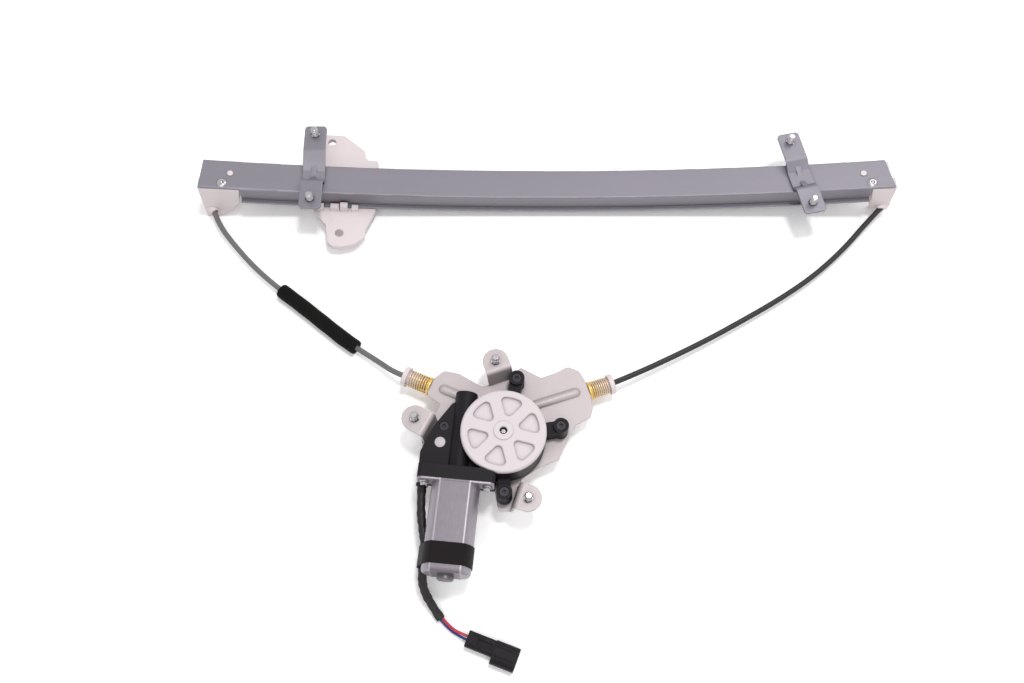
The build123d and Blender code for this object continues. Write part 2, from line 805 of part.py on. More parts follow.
def ear(centre, direction, bend_distance, foot_run):
    """A bent tab: off the plate's edge, up, and out to a round tip about its centre."""
    c, s = cos(radians(direction)), sin(radians(direction))
    origin = at_hub(*centre)
    profile_plane = Plane(origin=origin, x_dir=(c, s, 0), z_dir=(s, -c, 0))
    foot = -bend_distance - foot_run
    points = [(foot - ear_overlap, plate_bottom), (foot, plate_bottom)]
    points += [(-bend_distance, plate_bottom + ear_height), (ear_radius, plate_bottom + ear_height)]
    with BuildPart() as tab:
        with BuildSketch(profile_plane):
            add(bent_outline(points, plate_gauge, ear_bend))
        extrude(amount=ear_radius, both=True)
        with BuildSketch(Plane(origin=origin, x_dir=(c, s, 0), z_dir=(0, 0, 1))):
            Circle(ear_radius)
            with Locations((-ear_radius - ear_overlap, 0)):
                Rectangle(2 * (ear_radius + ear_overlap), 2 * ear_radius)
        extrude(amount=plate_bottom + 2 * ear_height, mode=Mode.INTERSECT)
    return tab.part


with BuildPart() as drum_plate:
    with BuildSketch(hub_plane(plate_bottom)):
        with BuildLine():
            Polyline(
                (-4.0, -54.0), (8.0, -54.0), (8.5, -44.0), (13.8, -29.5), (27.4, -20.2), (41.4, -14.8),
                (49.5, 4.0), (55.0, 13.0), (66.8, 19.5), (69.2, 28.4), (63.8, 48.0), (59.0, 57.0),
                (50.0, 61.0), (40.4, 55.6), (28.9, 51.6), (13.0, 60.4), (4.7, 51.6), (-17.0, 44.1),
                (-34.7, 55.0), (-47.0, 57.6), (-54.8, 50.5), (-59.5, 37.5), (-49.0, 30.0),
                (-52.2, 21.9), (-62.7, 2.6), (-60.0, -20.0), (-56.0, -24.5), (-13.0, -27.6),
                (-7.5, -34.0), close=True,
            )
        make_face()
        fillet(vertices().filter_by(at_arm_end), arm_corner)
        fillet(vertices().filter_by(lambda corner: not at_arm_end(corner)), plate_corner)
        Circle(shaft_hole_radius, mode=Mode.SUBTRACT)
        with Locations(*housing_bosses, shoulder_screw):
            Circle(plate_hole_radius, mode=Mode.SUBTRACT)
    extrude(amount=plate_gauge)
    add(ear(upper_ear, 110.0, 7.5, 4.0))
    add(ear(left_ear, 152.4, 10.7, 1.0))
    add(ear(right_ear, -16.8, 7.6, 2.0))
    for mode, radius in ((Mode.ADD, bead_radius), (Mode.SUBTRACT, bead_radius - plate_gauge)):
        add(bead(left_cable_angle, *left_bead, radius), mode=mode)
        add(bead(right_cable_angle, *right_bead, radius), mode=mode)
    for centre in (upper_ear, left_ear, right_ear):
        with BuildSketch(hub_plane(plate_bottom + ear_height - 1)):
            with Locations(centre):
                Circle(stud_radius + stud_collar + stud_fit)
        extrude(amount=2 * plate_gauge + 1, mode=Mode.SUBTRACT)
save(drum_plate.part, "drum_plate")

with BuildPart() as plate_studs:
    for centre in (upper_ear, left_ear, right_ear):
        add(stud(Plane(origin=at_hub(*centre, plate_top + ear_height)), plate_gauge, ear_stud_length))
save(plate_studs.part, "plate_studs")

# ---------------------------------------------------------------- drum housing under the plate
drum_flange_radius = drum_cable_radius + drum_flange_step
cup_radius = drum_flange_radius + drum_gap + drum_housing_wall
arm_bottom = cable_height - arm_width / 2
arms = ((left_cable_angle, left_arm_reach), (right_cable_angle, right_arm_reach))
with BuildPart() as drum_housing:
    with BuildSketch(hub_plane(0)):
        Circle(cup_radius)
    extrude(amount=plate_bottom)
    for angle, arm_reach in arms:
        with BuildSketch(cable_line(angle, arm_reach)):
            with Locations((0, (plate_bottom + arm_bottom) / 2 - cable_height)):
                Rectangle(arm_width, plate_bottom - arm_bottom)
        extrude(amount=drum_cable_radius - arm_reach)
    with BuildSketch(hub_plane(housing_floor)):
        Circle(cup_radius - drum_housing_wall)
    extrude(amount=plate_bottom, mode=Mode.SUBTRACT)
    with BuildSketch(hub_plane(0)):
        Circle(shaft_boss_radius)
    extrude(amount=housing_floor + drum_gap)
    with BuildSketch(hub_plane(1.0)):
        Circle(shaft_radius + running_fit)
    extrude(amount=plate_bottom, mode=Mode.SUBTRACT)
    for angle, arm_reach in arms:
        with BuildSketch(cable_line(angle, arm_reach)):
            Circle(cable_bore)
        extrude(amount=drum_cable_radius / 2 - arm_reach, mode=Mode.SUBTRACT)
        with BuildSketch(cable_line(angle, arm_reach)):
            Circle(ferrule_radius + running_fit)
        extrude(amount=-ferrule_depth - ferrule_travel, mode=Mode.SUBTRACT)
save(drum_housing.part, "drum_housing")

# ---------------------------------------------------------------- springs, ferrules, cables to the drum


def tension_spring(angle, arm_reach, length):
    """The coil spring between an arm's end and its ferrule's cap."""
    free = length - 2 * spring_wire
    seat = cable_line(angle, arm_reach + spring_wire)
    pitch = free / spring_coils
    mean = spring_radius - spring_wire
    with BuildPart() as spring:
        with BuildLine() as coil:
            Helix(pitch=pitch, height=free, radius=mean, center=seat.origin, direction=seat.z_dir)
        with BuildSketch(Plane(origin=coil.line @ 0, z_dir=coil.line % 0)):
            RegularPolygon(spring_wire, 6)
        sweep(is_frenet=True)
    return spring.part


def ferrule(angle, arm_reach, length):
    """The conduit's end fitting: a cap that the spring pushes on, and a stem that slides in the arm."""
    cap_start = arm_reach + length
    conduit_start = cap_start + cap_thickness - socket_depth
    with BuildPart() as fitting:
        with BuildSketch(cable_line(angle, arm_reach - ferrule_depth)):
            Circle(ferrule_radius)
        extrude(amount=ferrule_depth + length)
        with BuildSketch(cable_line(angle, cap_start - sleeve_length)):
            Circle(sleeve_radius)
        extrude(amount=sleeve_length)
        with BuildSketch(cable_line(angle, cap_start)):
            Circle(cap_radius)
        extrude(amount=cap_thickness)
        fillet(faces().sort_by(Axis(cable_line(angle).origin, cable_line(angle).z_dir))[-1].edges(), cap_edge)
        with BuildSketch(cable_line(angle, conduit_start)):
            Circle(conduit_radius + conduit_fit)
        extrude(amount=2 * socket_depth, mode=Mode.SUBTRACT)
        with BuildSketch(cable_line(angle, arm_reach - ferrule_depth)):
            Circle(cable_bore)
        extrude(amount=ferrule_depth + length, mode=Mode.SUBTRACT)
    return fitting.part


left_line = (left_cable_angle, left_arm_reach, left_spring_length)
right_line = (right_cable_angle, right_arm_reach, right_spring_length)
save(tension_spring(*left_line), "left_spring")
save(tension_spring(*right_line), "right_spring")
save(ferrule(*left_line), "left_ferrule")
save(ferrule(*right_line), "right_ferrule")

with BuildPart() as feed_cables:
    for angle, arm_reach, length in (left_line, right_line):
        cable_end = arm_reach + length + cap_thickness - socket_depth
        with BuildSketch(cable_line(angle, drum_clear)):
            Circle(cable_radius)
        extrude(amount=cable_end - drum_clear - guide_fit)
save(feed_cables.part, "feed_cables")

# ---------------------------------------------------------------- drum and the parts on its shaft
drum_bottom = housing_floor + 1.5
drum_top = drum_bottom + drum_height + 1.0
with BuildPart() as cable_drum:
    with BuildSketch(hub_plane(drum_bottom)):
        Circle(drum_flange_radius)
    extrude(amount=drum_top - drum_bottom)
    with BuildSketch(hub_plane(drum_bottom + drum_flange)):
        Circle(drum_flange_radius + 1)
        Circle(drum_cable_radius - cable_radius, mode=Mode.SUBTRACT)
    extrude(amount=drum_top - drum_bottom - 2 * drum_flange, mode=Mode.SUBTRACT)
    with BuildSketch(hub_plane(drum_bottom)):
        Circle(shaft_radius + running_fit)
    extrude(amount=drum_top, mode=Mode.SUBTRACT)
save(cable_drum.part, "cable_drum")

wound_top = cable_height + cable_radius
wound_bottom = drum_bottom + drum_flange + running_fit
with BuildPart() as drum_cable:
    with BuildSketch(hub_plane(wound_bottom)):
        Circle(drum_cable_radius + cable_radius)
        Circle(drum_cable_radius - cable_radius + running_fit, mode=Mode.SUBTRACT)
    extrude(amount=wound_top - wound_bottom)
save(drum_cable.part, "drum_cable")

wheel_bottom = motor_height - wheel_width / 2
wheel_top = motor_height + wheel_width / 2
with BuildPart() as output_shaft:
    with BuildSketch(hub_plane(shaft_bottom)):
        Circle(shaft_radius)
    extrude(amount=shaft_top - shaft_bottom)
    with BuildSketch(hub_plane(shaft_top)):
        Circle(pin_radius)
    extrude(amount=pin_top - shaft_top)
    chamfer(faces().sort_by(Axis.Z)[-1].edges(), 0.4)
save(output_shaft.part, "output_shaft")

damper_floor = wheel_bottom + 2.5
tooth_pitch = 2 * pi * (wheel_tip_radius - wheel_tooth / 2) / wheel_teeth
with BuildPart() as worm_wheel:
    with BuildSketch(hub_plane(wheel_bottom)):
        Circle(wheel_tip_radius)
        with PolarLocations(wheel_tip_radius, wheel_teeth):
            Rectangle(2 * wheel_tooth, tooth_pitch / 2, mode=Mode.SUBTRACT)
        Circle(shaft_radius + running_fit, mode=Mode.SUBTRACT)
    extrude(amount=wheel_width)
    with BuildSketch(hub_plane(damper_floor)):
        Circle(damper_outer + damper_gap)
        Circle(damper_inner - damper_gap, mode=Mode.SUBTRACT)
        with PolarLocations((damper_inner + damper_outer) / 2, damper_count):
            Rectangle(damper_outer, damper_rib, mode=Mode.SUBTRACT)
    extrude(amount=wheel_width, mode=Mode.SUBTRACT)
save(worm_wheel.part, "worm_wheel")

with BuildPart() as damper:
    with BuildSketch(hub_plane(damper_floor + running_fit)):
        Circle(damper_outer)
        Circle(damper_inner, mode=Mode.SUBTRACT)
        with PolarLocations((damper_inner + damper_outer) / 2, damper_count):
            Rectangle(damper_outer, damper_rib + 2 * damper_gap, mode=Mode.SUBTRACT)
    extrude(amount=wheel_top - damper_floor - 1.0)
save(damper.part, "damper")

# ---------------------------------------------------------------- gear housing
housing_floor_top = plate_top + gear_floor
bowl_cavity = bowl_radius - bowl_wall
screw_places = [(x, y, boss_top) for x, y in housing_bosses] + [(*shoulder_screw, shoulder_top)]
block_end = flange_station
grommet_across = -can_radius - grommet_ear


def can_outline(inset=0.0):
    """The motor can's section: a circle with flats above and below."""
    with BuildSketch() as outline:
        Circle(can_radius - inset)
        Rectangle(2 * can_radius, 2 * (can_half_height - inset), mode=Mode.INTERSECT)
        fillet(outline.vertices(), can_corner)
    return outline.sketch


with BuildPart() as gear_housing:
    with BuildSketch(hub_plane(plate_top)):
        Circle(bowl_radius)
    extrude(amount=bowl_top - plate_top)
    with BuildSketch(hub_plane(plate_top)):
        with BuildLine():
            Polyline(
                (-38.3, 25.8), (-50.4, 9.9), (-57.8, -3.4), (-62.0, -12.7), (-63.0, -27.0),
                (-20.0, -37.0), (0.0, 0.0), (-20.0, 26.0), close=True,
            )
        make_face()
        fillet(vertices().group_by(Axis.X)[:5], shoulder_corner)
    extrude(amount=shoulder_top - plate_top)
    for x, y in housing_bosses:
        arm_angle = degrees(atan2(y, x))
        with BuildSketch(hub_plane(plate_top)):
            with Locations((x, y)):
                Circle(boss_radius)
        extrude(amount=boss_top - plate_top)
        with BuildSketch(hub_plane(plate_top)):
            with Locations(Location((x / 2, y / 2, 0), (0, 0, arm_angle))):
                Rectangle(hypot(x, y), boss_arm_width)
        extrude(amount=boss_top - plate_top - boss_arm_drop)
    with BuildSketch(motor_at(tunnel_start)):
        Circle(tunnel_width / 2)
        with Locations((0, (plate_top - motor_height) / 2)):
            Rectangle(tunnel_width, motor_height - plate_top)
    extrude(amount=block_end - tunnel_start)
    with BuildSketch(motor_at(block_start)):
        with Locations((0, (plate_top + block_top) / 2 - motor_height)):
            RectangleRounded(flange_width, block_top - plate_top, block_corner)
        add(can_outline())
    extrude(amount=block_end - block_start)
    with BuildSketch(motor_at(block_end)):
        with Locations((grommet_across, grommet_up)):
            Circle(grommet_radius)
    extrude(amount=grommet_length)
    with BuildSketch(hub_plane(housing_floor_top)):
        Circle(bowl_cavity)
    extrude(amount=bowl_top, mode=Mode.SUBTRACT)
    with BuildSketch(hub_plane(bowl_top)):
        Circle(cover_radius + cover_gap)
    extrude(amount=bowl_top, mode=Mode.SUBTRACT)
    with BuildSketch(motor_at(tunnel_bore_start)):
        Circle(tunnel_bore)
    extrude(amount=block_end - tunnel_bore_start, mode=Mode.SUBTRACT)
    with BuildSketch(hub_plane(plate_top)):
        Circle(hub_boss_radius)
    extrude(amount=housing_floor_top - plate_top + hub_boss_height)
    with BuildSketch(hub_plane(plate_top)):
        Circle(shaft_radius + running_fit)
    extrude(amount=bowl_top, mode=Mode.SUBTRACT)
    for x, y, top in screw_places:
        with BuildSketch(hub_plane(top - screw_recess)):
            with Locations((x, y)):
                Circle(screw_head_radius + guide_fit)
        extrude(amount=screw_recess, mode=Mode.SUBTRACT)
        with BuildSketch(hub_plane(plate_top)):
            with Locations((x, y)):
                Circle(screw_radius + running_fit)
        extrude(amount=top - plate_top, mode=Mode.SUBTRACT)
    with BuildSketch(hub_plane(shoulder_top - vent_seat)):
        with Locations(vent_place):
            Circle(vent_radius + running_fit)
    extrude(amount=vent_seat, mode=Mode.SUBTRACT)
save(gear_housing.part, "gear_housing")

# ---------------------------------------------------------------- cover, screws and vent
apex = spoke_half_width / sin(radians(half_sector))
outer_turn = half_sector - degrees(asin(spoke_half_width / sector_outer_radius))
with BuildPart() as gear_cover:
    with BuildSketch(hub_plane(bowl_top)):
        Circle(cover_radius)
    extrude(amount=cover_thickness)
    fillet(faces().sort_by(Axis.Z)[-1].edges(), cover_edge)
    with BuildSketch(hub_plane(bowl_top - spigot_depth)):
        Circle(bowl_cavity - running_fit)
        Circle(bowl_cavity - running_fit - spigot_wall, mode=Mode.SUBTRACT)
    extrude(amount=spigot_depth)
    with BuildSketch(hub_plane(bowl_top + cover_thickness - sector_depth)):
        with BuildSketch(mode=Mode.PRIVATE) as sector:
            with BuildLine():
                corner_x = sector_outer_radius * cos(radians(outer_turn))
                corner_y = sector_outer_radius * sin(radians(outer_turn))
                Polyline((corner_x, corner_y), (apex, 0), (corner_x, -corner_y))
                ThreePointArc((corner_x, -corner_y), (sector_outer_radius, 0), (corner_x, corner_y))
            make_face()
            fillet(sector.vertices(), sector_corner)
        with PolarLocations(0, 6, start_angle=sector_phase):
            add(sector.sketch)
    extrude(amount=sector_depth, mode=Mode.SUBTRACT)
    fillet(faces().sort_by(Axis.Z)[-1].inner_wires().edges(), sector_edge)
    with BuildSketch(hub_plane(bowl_top + cover_thickness)):
        Circle(hub_disc_radius)
    extrude(amount=hub_disc_height)
    with BuildSketch(hub_plane(bowl_top)):
        Circle(cover_hole)
    extrude(amount=cover_thickness + hub_disc_height, mode=Mode.SUBTRACT)
save(gear_cover.part, "gear_cover")

with BuildPart() as housing_screws:
    for x, y, top in screw_places:
        add(disc(Plane(origin=at_hub(x, y, plate_top)), screw_radius, top - screw_recess - plate_top))
        add(disc(Plane(origin=at_hub(x, y, top - screw_recess)), screw_head_radius, screw_recess - screw_sunk))
        with BuildSketch(Plane(origin=at_hub(x, y, top - screw_recess / 2 - screw_sunk))):
            RegularPolygon(screw_socket_radius, 6)
        extrude(amount=screw_recess, mode=Mode.SUBTRACT)
save(housing_screws.part, "housing_screws")

with BuildPart() as vent_plug:
    add(disc(Plane(origin=at_hub(*vent_place, shoulder_top - vent_seat)), vent_radius, vent_seat))
    add(dome(Plane(origin=at_hub(*vent_place, shoulder_top)), vent_radius, vent_dome))
save(vent_plug.part, "vent_plug")

# ---------------------------------------------------------------- motor
flange_screw_across = can_radius + flange_screw_ear
flange_screw_up = (flange_top + flange_bottom) / 2 - motor_height
boss_outer = bush_radius + can_wall
magnet_outer = can_radius - can_wall - running_fit


with BuildPart() as motor_can:
    with BuildSketch(motor_at(flange_station)):
        add(can_outline())
    extrude(amount=can_end_station - flange_station)
    fillet(faces().sort_by(Axis(motor_plane.origin, motor_plane.z_dir))[-1].edges(), can_edge)
    with BuildSketch(motor_at(flange_station)):
        with Locations((0, (flange_top + flange_bottom) / 2 - motor_height)):
            RectangleRounded(flange_width, flange_top - flange_bottom, flange_corner)
    extrude(amount=flange_gauge)
    with BuildSketch(motor_at(can_end_station)):
        Circle(boss_outer)
    extrude(amount=boss_length)
    fillet(faces().sort_by(Axis(motor_plane.origin, motor_plane.z_dir))[-1].edges(), boss_edge)
    with BuildSketch(motor_at(flange_station)):
        add(can_outline(can_wall))
    extrude(amount=can_end_station - can_wall - flange_station, mode=Mode.SUBTRACT)
    with BuildSketch(motor_at(can_end_station - can_wall)):
        Circle(bush_radius + running_fit)
    extrude(amount=boss_length, mode=Mode.SUBTRACT)
    with BuildSketch(motor_at(flange_station)):
        for side in (-1, 1):
            with Locations((side * flange_screw_across, flange_screw_up)):
                Circle(screw_radius + running_fit)
    extrude(amount=flange_gauge, mode=Mode.SUBTRACT)
save(motor_can.part, "motor_can")

with BuildPart() as flange_screws:
    for side in (-1, 1):
        place = motor_point(flange_station + flange_gauge, side * flange_screw_across, flange_screw_up)
        head_plane = Plane(origin=place, x_dir=motor_plane.x_dir, z_dir=motor_plane.z_dir)
        add(disc(head_plane, screw_head_radius, flange_screw_height))
        add(disc(head_plane.offset(-flange_gauge), screw_radius, flange_gauge))
save(flange_screws.part, "flange_screws")

with BuildPart() as motor_magnets:
    with BuildSketch(motor_at(core_start - magnet_overlap)):
        with BuildSketch(mode=Mode.PRIVATE) as magnet:
            with BuildLine():
                half_turn = radians(magnet_half_angle)
                for radius in (magnet_inner_radius, magnet_outer):
                    CenterArc((0, 0), radius, -magnet_half_angle, 2 * magnet_half_angle)
                for turn in (-half_turn, half_turn):
                    inner_end = (magnet_inner_radius * cos(turn), magnet_inner_radius * sin(turn))
                    Line(inner_end, (magnet_outer * cos(turn), magnet_outer * sin(turn)))
            make_face()
        with PolarLocations(0, 2):
            add(magnet.sketch)
    extrude(amount=core_end - core_start + 2 * magnet_overlap)
save(motor_magnets.part, "motor_magnets")

holder_start = flange_station + holder_inset
brush_start = holder_start + holder_gauge
with BuildPart() as brush_holder:
    with BuildSketch(motor_at(holder_start)):
        add(can_outline(can_wall + running_fit))
        Circle(commutator_radius + holder_clear, mode=Mode.SUBTRACT)
    extrude(amount=holder_gauge)
save(brush_holder.part, "brush_holder")

with BuildPart() as brushes:
    with BuildSketch(motor_at(brush_start + running_fit)):
        for side in (-1, 1):
            with Locations((side * (commutator_radius + motor_clear + brush_reach / 2), 0)):
                Rectangle(brush_reach, brush_width)
    extrude(amount=commutator_end - brush_start - brush_short)
save(brushes.part, "brushes")

bore = armature_shaft_radius + running_fit
save(disc(motor_at(front_bush_start), tunnel_bore - running_fit, bush_length, bore), "front_bush")
save(disc(motor_at(can_end_station - can_wall), bush_radius, rear_bush_length, bore), "rear_bush")

shaft_start = tunnel_bore_start + shaft_end_gap
shaft_end = can_end_station + boss_length - can_wall - motor_clear
save(disc(motor_at(shaft_start), armature_shaft_radius, shaft_end - shaft_start), "armature_shaft")
save(disc(motor_at(-worm_half_length), worm_radius, 2 * worm_half_length, bore), "worm")
save(disc(motor_at(core_start), core_radius, core_end - core_start, bore), "armature_core")
save(disc(motor_at(commutator_start), commutator_radius, commutator_end - commutator_start, bore), "commutator")
with BuildPart() as windings:
    add(disc(motor_at(core_start - winding_length), winding_radius, winding_length, bore))
    add(disc(motor_at(core_end), winding_radius, winding_length, bore))
save(windings.part, "windings")

# ---------------------------------------------------------------- lead, tape, wires and plug
lead_reach = can_radius + lead_radius + lead_gap  # from the motor's axis to the lead beside the can
lead_across = -lead_reach * cos(radians(lead_lie))
lead_up = -lead_reach * sin(radians(lead_lie))
with BuildPart() as tape_band:
    for mode, gap in ((Mode.ADD, lead_fit + tape_thickness), (Mode.SUBTRACT, lead_fit)):
        with BuildSketch(motor_at(tape_start)):
            with BuildSketch(mode=Mode.PRIVATE) as wrapped:
                Circle(can_radius + gap - lead_fit + running_fit)
                flat_height = can_half_height + gap - lead_fit + running_fit
                Rectangle(4 * can_radius, 2 * flat_height, mode=Mode.INTERSECT)
                with Locations((lead_across, lead_up)):
                    Circle(lead_radius + gap)
            make_hull(wrapped.edges())
        extrude(amount=tape_length, mode=mode)
save(tape_band.part, "tape_band")

lead_route = [
    (-96.0, -123.6, 27.0),
    (-96.4, -136.5, 25.4),
    (-95.4, -151.0, 23.4),
    (-92.4, -165.2, 22.5),
    (-94.4, -186.6, 22.3),
    (-93.5, -196.3, 13.6),
    (-87.8, -206.3, 6.4),
    (-80.7, -216.0, 3.3),
]
cord(lead_route, lead_radius, "lead_sleeve")
red_route = [(-79.5, -215.7, 3.3), (-72.9, -222.9, 3.9), (-64.47, -227.18, 6.0), (-55.12, -230.75, 6.0)]
blue_route = [(-81.4, -217.0, 3.2), (-74.6, -225.2, 3.6), (-65.61, -230.16, 6.0), (-56.27, -233.73, 6.0)]
cord(red_route, wire_radius, "red_wire")
cord(blue_route, wire_radius, "blue_wire")

plug_turn = radians(plug_angle)
plug_rear = Plane(
    origin=(*plug_rear_place, plug_height),
    x_dir=(-sin(plug_turn), cos(plug_turn), 0),
    z_dir=(cos(plug_turn), sin(plug_turn), 0),
)
plug_front = Plane(
    origin=plug_rear.from_local_coords((-shroud_offset, 0, plug_body_length)),
    x_dir=plug_rear.x_dir,
    z_dir=plug_rear.z_dir,
)
shroud_inner_width = plug_width - 2 * plug_shroud_wall
shroud_inner_height = plug_shroud_height - 2 * plug_shroud_wall
shroud_inner_corner = shroud_corner - plug_shroud_wall
with BuildPart() as plug_housing:
    with BuildSketch(plug_rear):
        RectangleRounded(plug_body_width, plug_body_height, plug_body_corner)
    extrude(amount=plug_body_length)
    with BuildSketch(plug_front):
        RectangleRounded(plug_width, plug_shroud_height, shroud_corner)
    extrude(amount=plug_shroud_length)
    with BuildSketch(plug_front.offset(shroud_floor)):
        RectangleRounded(shroud_inner_width, shroud_inner_height, shroud_inner_corner)
    extrude(amount=plug_shroud_length, mode=Mode.SUBTRACT)
    with BuildSketch(plug_front):
        RectangleRounded(core_width, core_height, core_corner)
    extrude(amount=shroud_floor + core_length)
    with BuildSketch(plug_rear.offset(latch_start)):
        with Locations((0, plug_body_height / 2)):
            Rectangle(latch_width, 2 * latch_depth)
    extrude(amount=latch_length, mode=Mode.SUBTRACT)
    with BuildSketch(plug_rear):
        with Locations((wire_spacing, 0), (-wire_spacing, 0)):
            Circle(wire_radius + running_fit)
    extrude(amount=wire_seat, mode=Mode.SUBTRACT)
    with BuildSketch(plug_front):
        with Locations((terminal_spacing, 0), (-terminal_spacing, 0)):
            Rectangle(terminal_width + 2 * running_fit, terminal_thickness + 2 * running_fit)
    extrude(amount=plug_shroud_length, mode=Mode.SUBTRACT)
save(plug_housing.part, "plug_housing")

with BuildPart() as plug_seal:
    with BuildSketch(plug_front.offset(shroud_floor)):
        RectangleRounded(
            core_width + 2 * seal_thickness,
            core_height + 2 * seal_thickness,
            core_corner + seal_thickness,
        )
        RectangleRounded(
            core_width + 2 * running_fit,
            core_height + 2 * running_fit,
            core_corner + running_fit,
            mode=Mode.SUBTRACT,
        )
    extrude(amount=seal_length)
save(plug_seal.part, "plug_seal")

with BuildPart() as plug_terminals:
    with BuildSketch(plug_front):
        with Locations((terminal_spacing, 0), (-terminal_spacing, 0)):
            Rectangle(terminal_width, terminal_thickness)
    extrude(amount=shroud_floor + core_length - terminal_short)
save(plug_terminals.part, "plug_terminals")

# ---------------------------------------------------------------- conduits and the foam sleeve
left_route = [
    (-282.2, 122.5, 10.1),
    (-271.6, 107.9, 9.5),
    (-256.4, 88.3, 8.3),
    (-238.0, 65.3, 7.2),
    (-219.1, 48.2, 6.5),
    (-198.0, 30.0, 6.3),
    (-176.6, 14.6, 6.3),
    (-153.5, -4.9, 6.9),
    (-139.0, -17.2, 10.5),
    (-124.5, -25.8, 14.9),
    (-110.8, -31.8, 15.0),
]
right_route = [
    (286.5, 125.6, 14.0),
    (267.5, 108.0, 9.5),
    (236.8, 82.2, 8.5),
    (200.2, 51.6, 8.0),
    (156.4, 21.7, 8.3),
    (122.4, 0.6, 9.8),
    (89.3, -16.0, 12.5),
    (65.7, -31.95, 14.8),
    (46.7, -38.25, 15.0),
]
cord(left_route, conduit_radius, "left_conduit")
cord(right_route, conduit_radius, "right_conduit")

with BuildLine() as left_centreline:
    FilletPolyline(*left_route, radius=cord_radii(left_route))
left_wire = left_centreline.wire()
foam_path = left_wire.trim(foam_start / left_wire.length, (foam_start + foam_length) / left_wire.length)
with BuildPart() as foam_sleeve:
    with BuildSketch(Plane(origin=foam_path @ 0, z_dir=foam_path % 0)):
        Circle(foam_radius)
        Circle(conduit_radius + conduit_fit, mode=Mode.SUBTRACT)
    sweep(path=foam_path)
save(foam_sleeve.part, "foam_sleeve")
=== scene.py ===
"""Looks of a cable window regulator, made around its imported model, in metres."""

import json
from math import pi, radians, sin

import bmesh
import bpy
from mathutils import Matrix, Vector


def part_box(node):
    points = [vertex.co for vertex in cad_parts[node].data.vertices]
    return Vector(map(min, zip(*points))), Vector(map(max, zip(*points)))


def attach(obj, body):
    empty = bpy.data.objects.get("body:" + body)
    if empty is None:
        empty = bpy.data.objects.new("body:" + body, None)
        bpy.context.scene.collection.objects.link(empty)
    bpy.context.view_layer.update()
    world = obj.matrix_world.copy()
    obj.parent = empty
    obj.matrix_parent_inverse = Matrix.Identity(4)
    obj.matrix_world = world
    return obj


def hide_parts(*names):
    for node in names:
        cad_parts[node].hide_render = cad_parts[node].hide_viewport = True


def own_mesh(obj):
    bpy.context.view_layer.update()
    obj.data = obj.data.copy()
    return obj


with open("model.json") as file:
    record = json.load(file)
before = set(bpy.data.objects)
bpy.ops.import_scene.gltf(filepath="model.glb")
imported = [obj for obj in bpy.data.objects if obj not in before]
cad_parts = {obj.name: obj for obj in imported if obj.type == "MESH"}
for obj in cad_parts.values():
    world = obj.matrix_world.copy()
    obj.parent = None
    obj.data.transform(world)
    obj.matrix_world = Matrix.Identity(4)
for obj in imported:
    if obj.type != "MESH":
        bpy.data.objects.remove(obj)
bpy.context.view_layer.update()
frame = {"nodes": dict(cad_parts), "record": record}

bl_info = {
    "name": "Cable window regulator",
    "version": (1, 0, 0),
    "blender": (4, 5, 0),
    "location": "View3D > Sidebar > Regulator",
    "description": "Finishes, cords, threads and small fittings of a cable-driven window regulator",
    "category": "Object",
}

# ------------------------------------------------------------------ shared values
MM = 0.001
HUB = Vector((-0.0353, -0.08645, 0.0))  # the drum's axis, at the table
MOTOR_FOOT = Vector((-0.06616, -0.08348, 0.034))  # on the motor's axis, where its stations start
MOTOR_WAY = Vector((-0.0958, -0.9954, 0.0))  # from the gears to the can's closed end
MOTOR_ACROSS = Vector((0.9954, -0.0958, 0.0))


def linear(code):
    """An sRGB hex colour as linear red, green, blue and alpha."""
    parts = [int(code[i : i + 2], 16) / 255 for i in (1, 3, 5)]
    return (*(c / 12.92 if c <= 0.04045 else ((c + 0.055) / 1.055) ** 2.4 for c in parts), 1.0)


def per_mm(size):
    """A noise or cell scale whose marks are size millimetres across, on coordinates in metres."""
    return 1 / (size * MM)


# ------------------------------------------------------------------ sizes and colours a user would change


def length_prop(name, default, description):
    """A length in metres."""
    return bpy.props.FloatProperty(
        name=name, description=description, default=default, min=0, unit="LENGTH", precision=4
    )


def colour_prop(name, code, description):
    """A colour written as sRGB hex."""
    return bpy.props.FloatVectorProperty(
        name=name, description=description, default=linear(code), size=4, min=0, max=1, subtype="COLOR"
    )


class RegulatorSizes(bpy.types.PropertyGroup):
    """Sizes of the pieces that are made here."""

    conduit_diameter: length_prop("Conduit diameter", 0.0045, "Outside of each cable conduit")
    lead_diameter: length_prop("Lead diameter", 0.006, "Outside of the lead's sleeve")
    wire_diameter: length_prop("Wire diameter", 0.0021, "Outside of each wire's insulation")
    foam_diameter: length_prop("Foam diameter", 0.0121, "Outside of the anti-rattle sleeve")
    foam_start: length_prop("Foam start", 0.098, "Along the left conduit, from the rail's end")
    foam_length: length_prop("Foam length", 0.084, "Of the anti-rattle sleeve")
    thread_pitch: length_prop("Thread pitch", 0.00125, "M6 studs, drawn a quarter coarser to be seen")


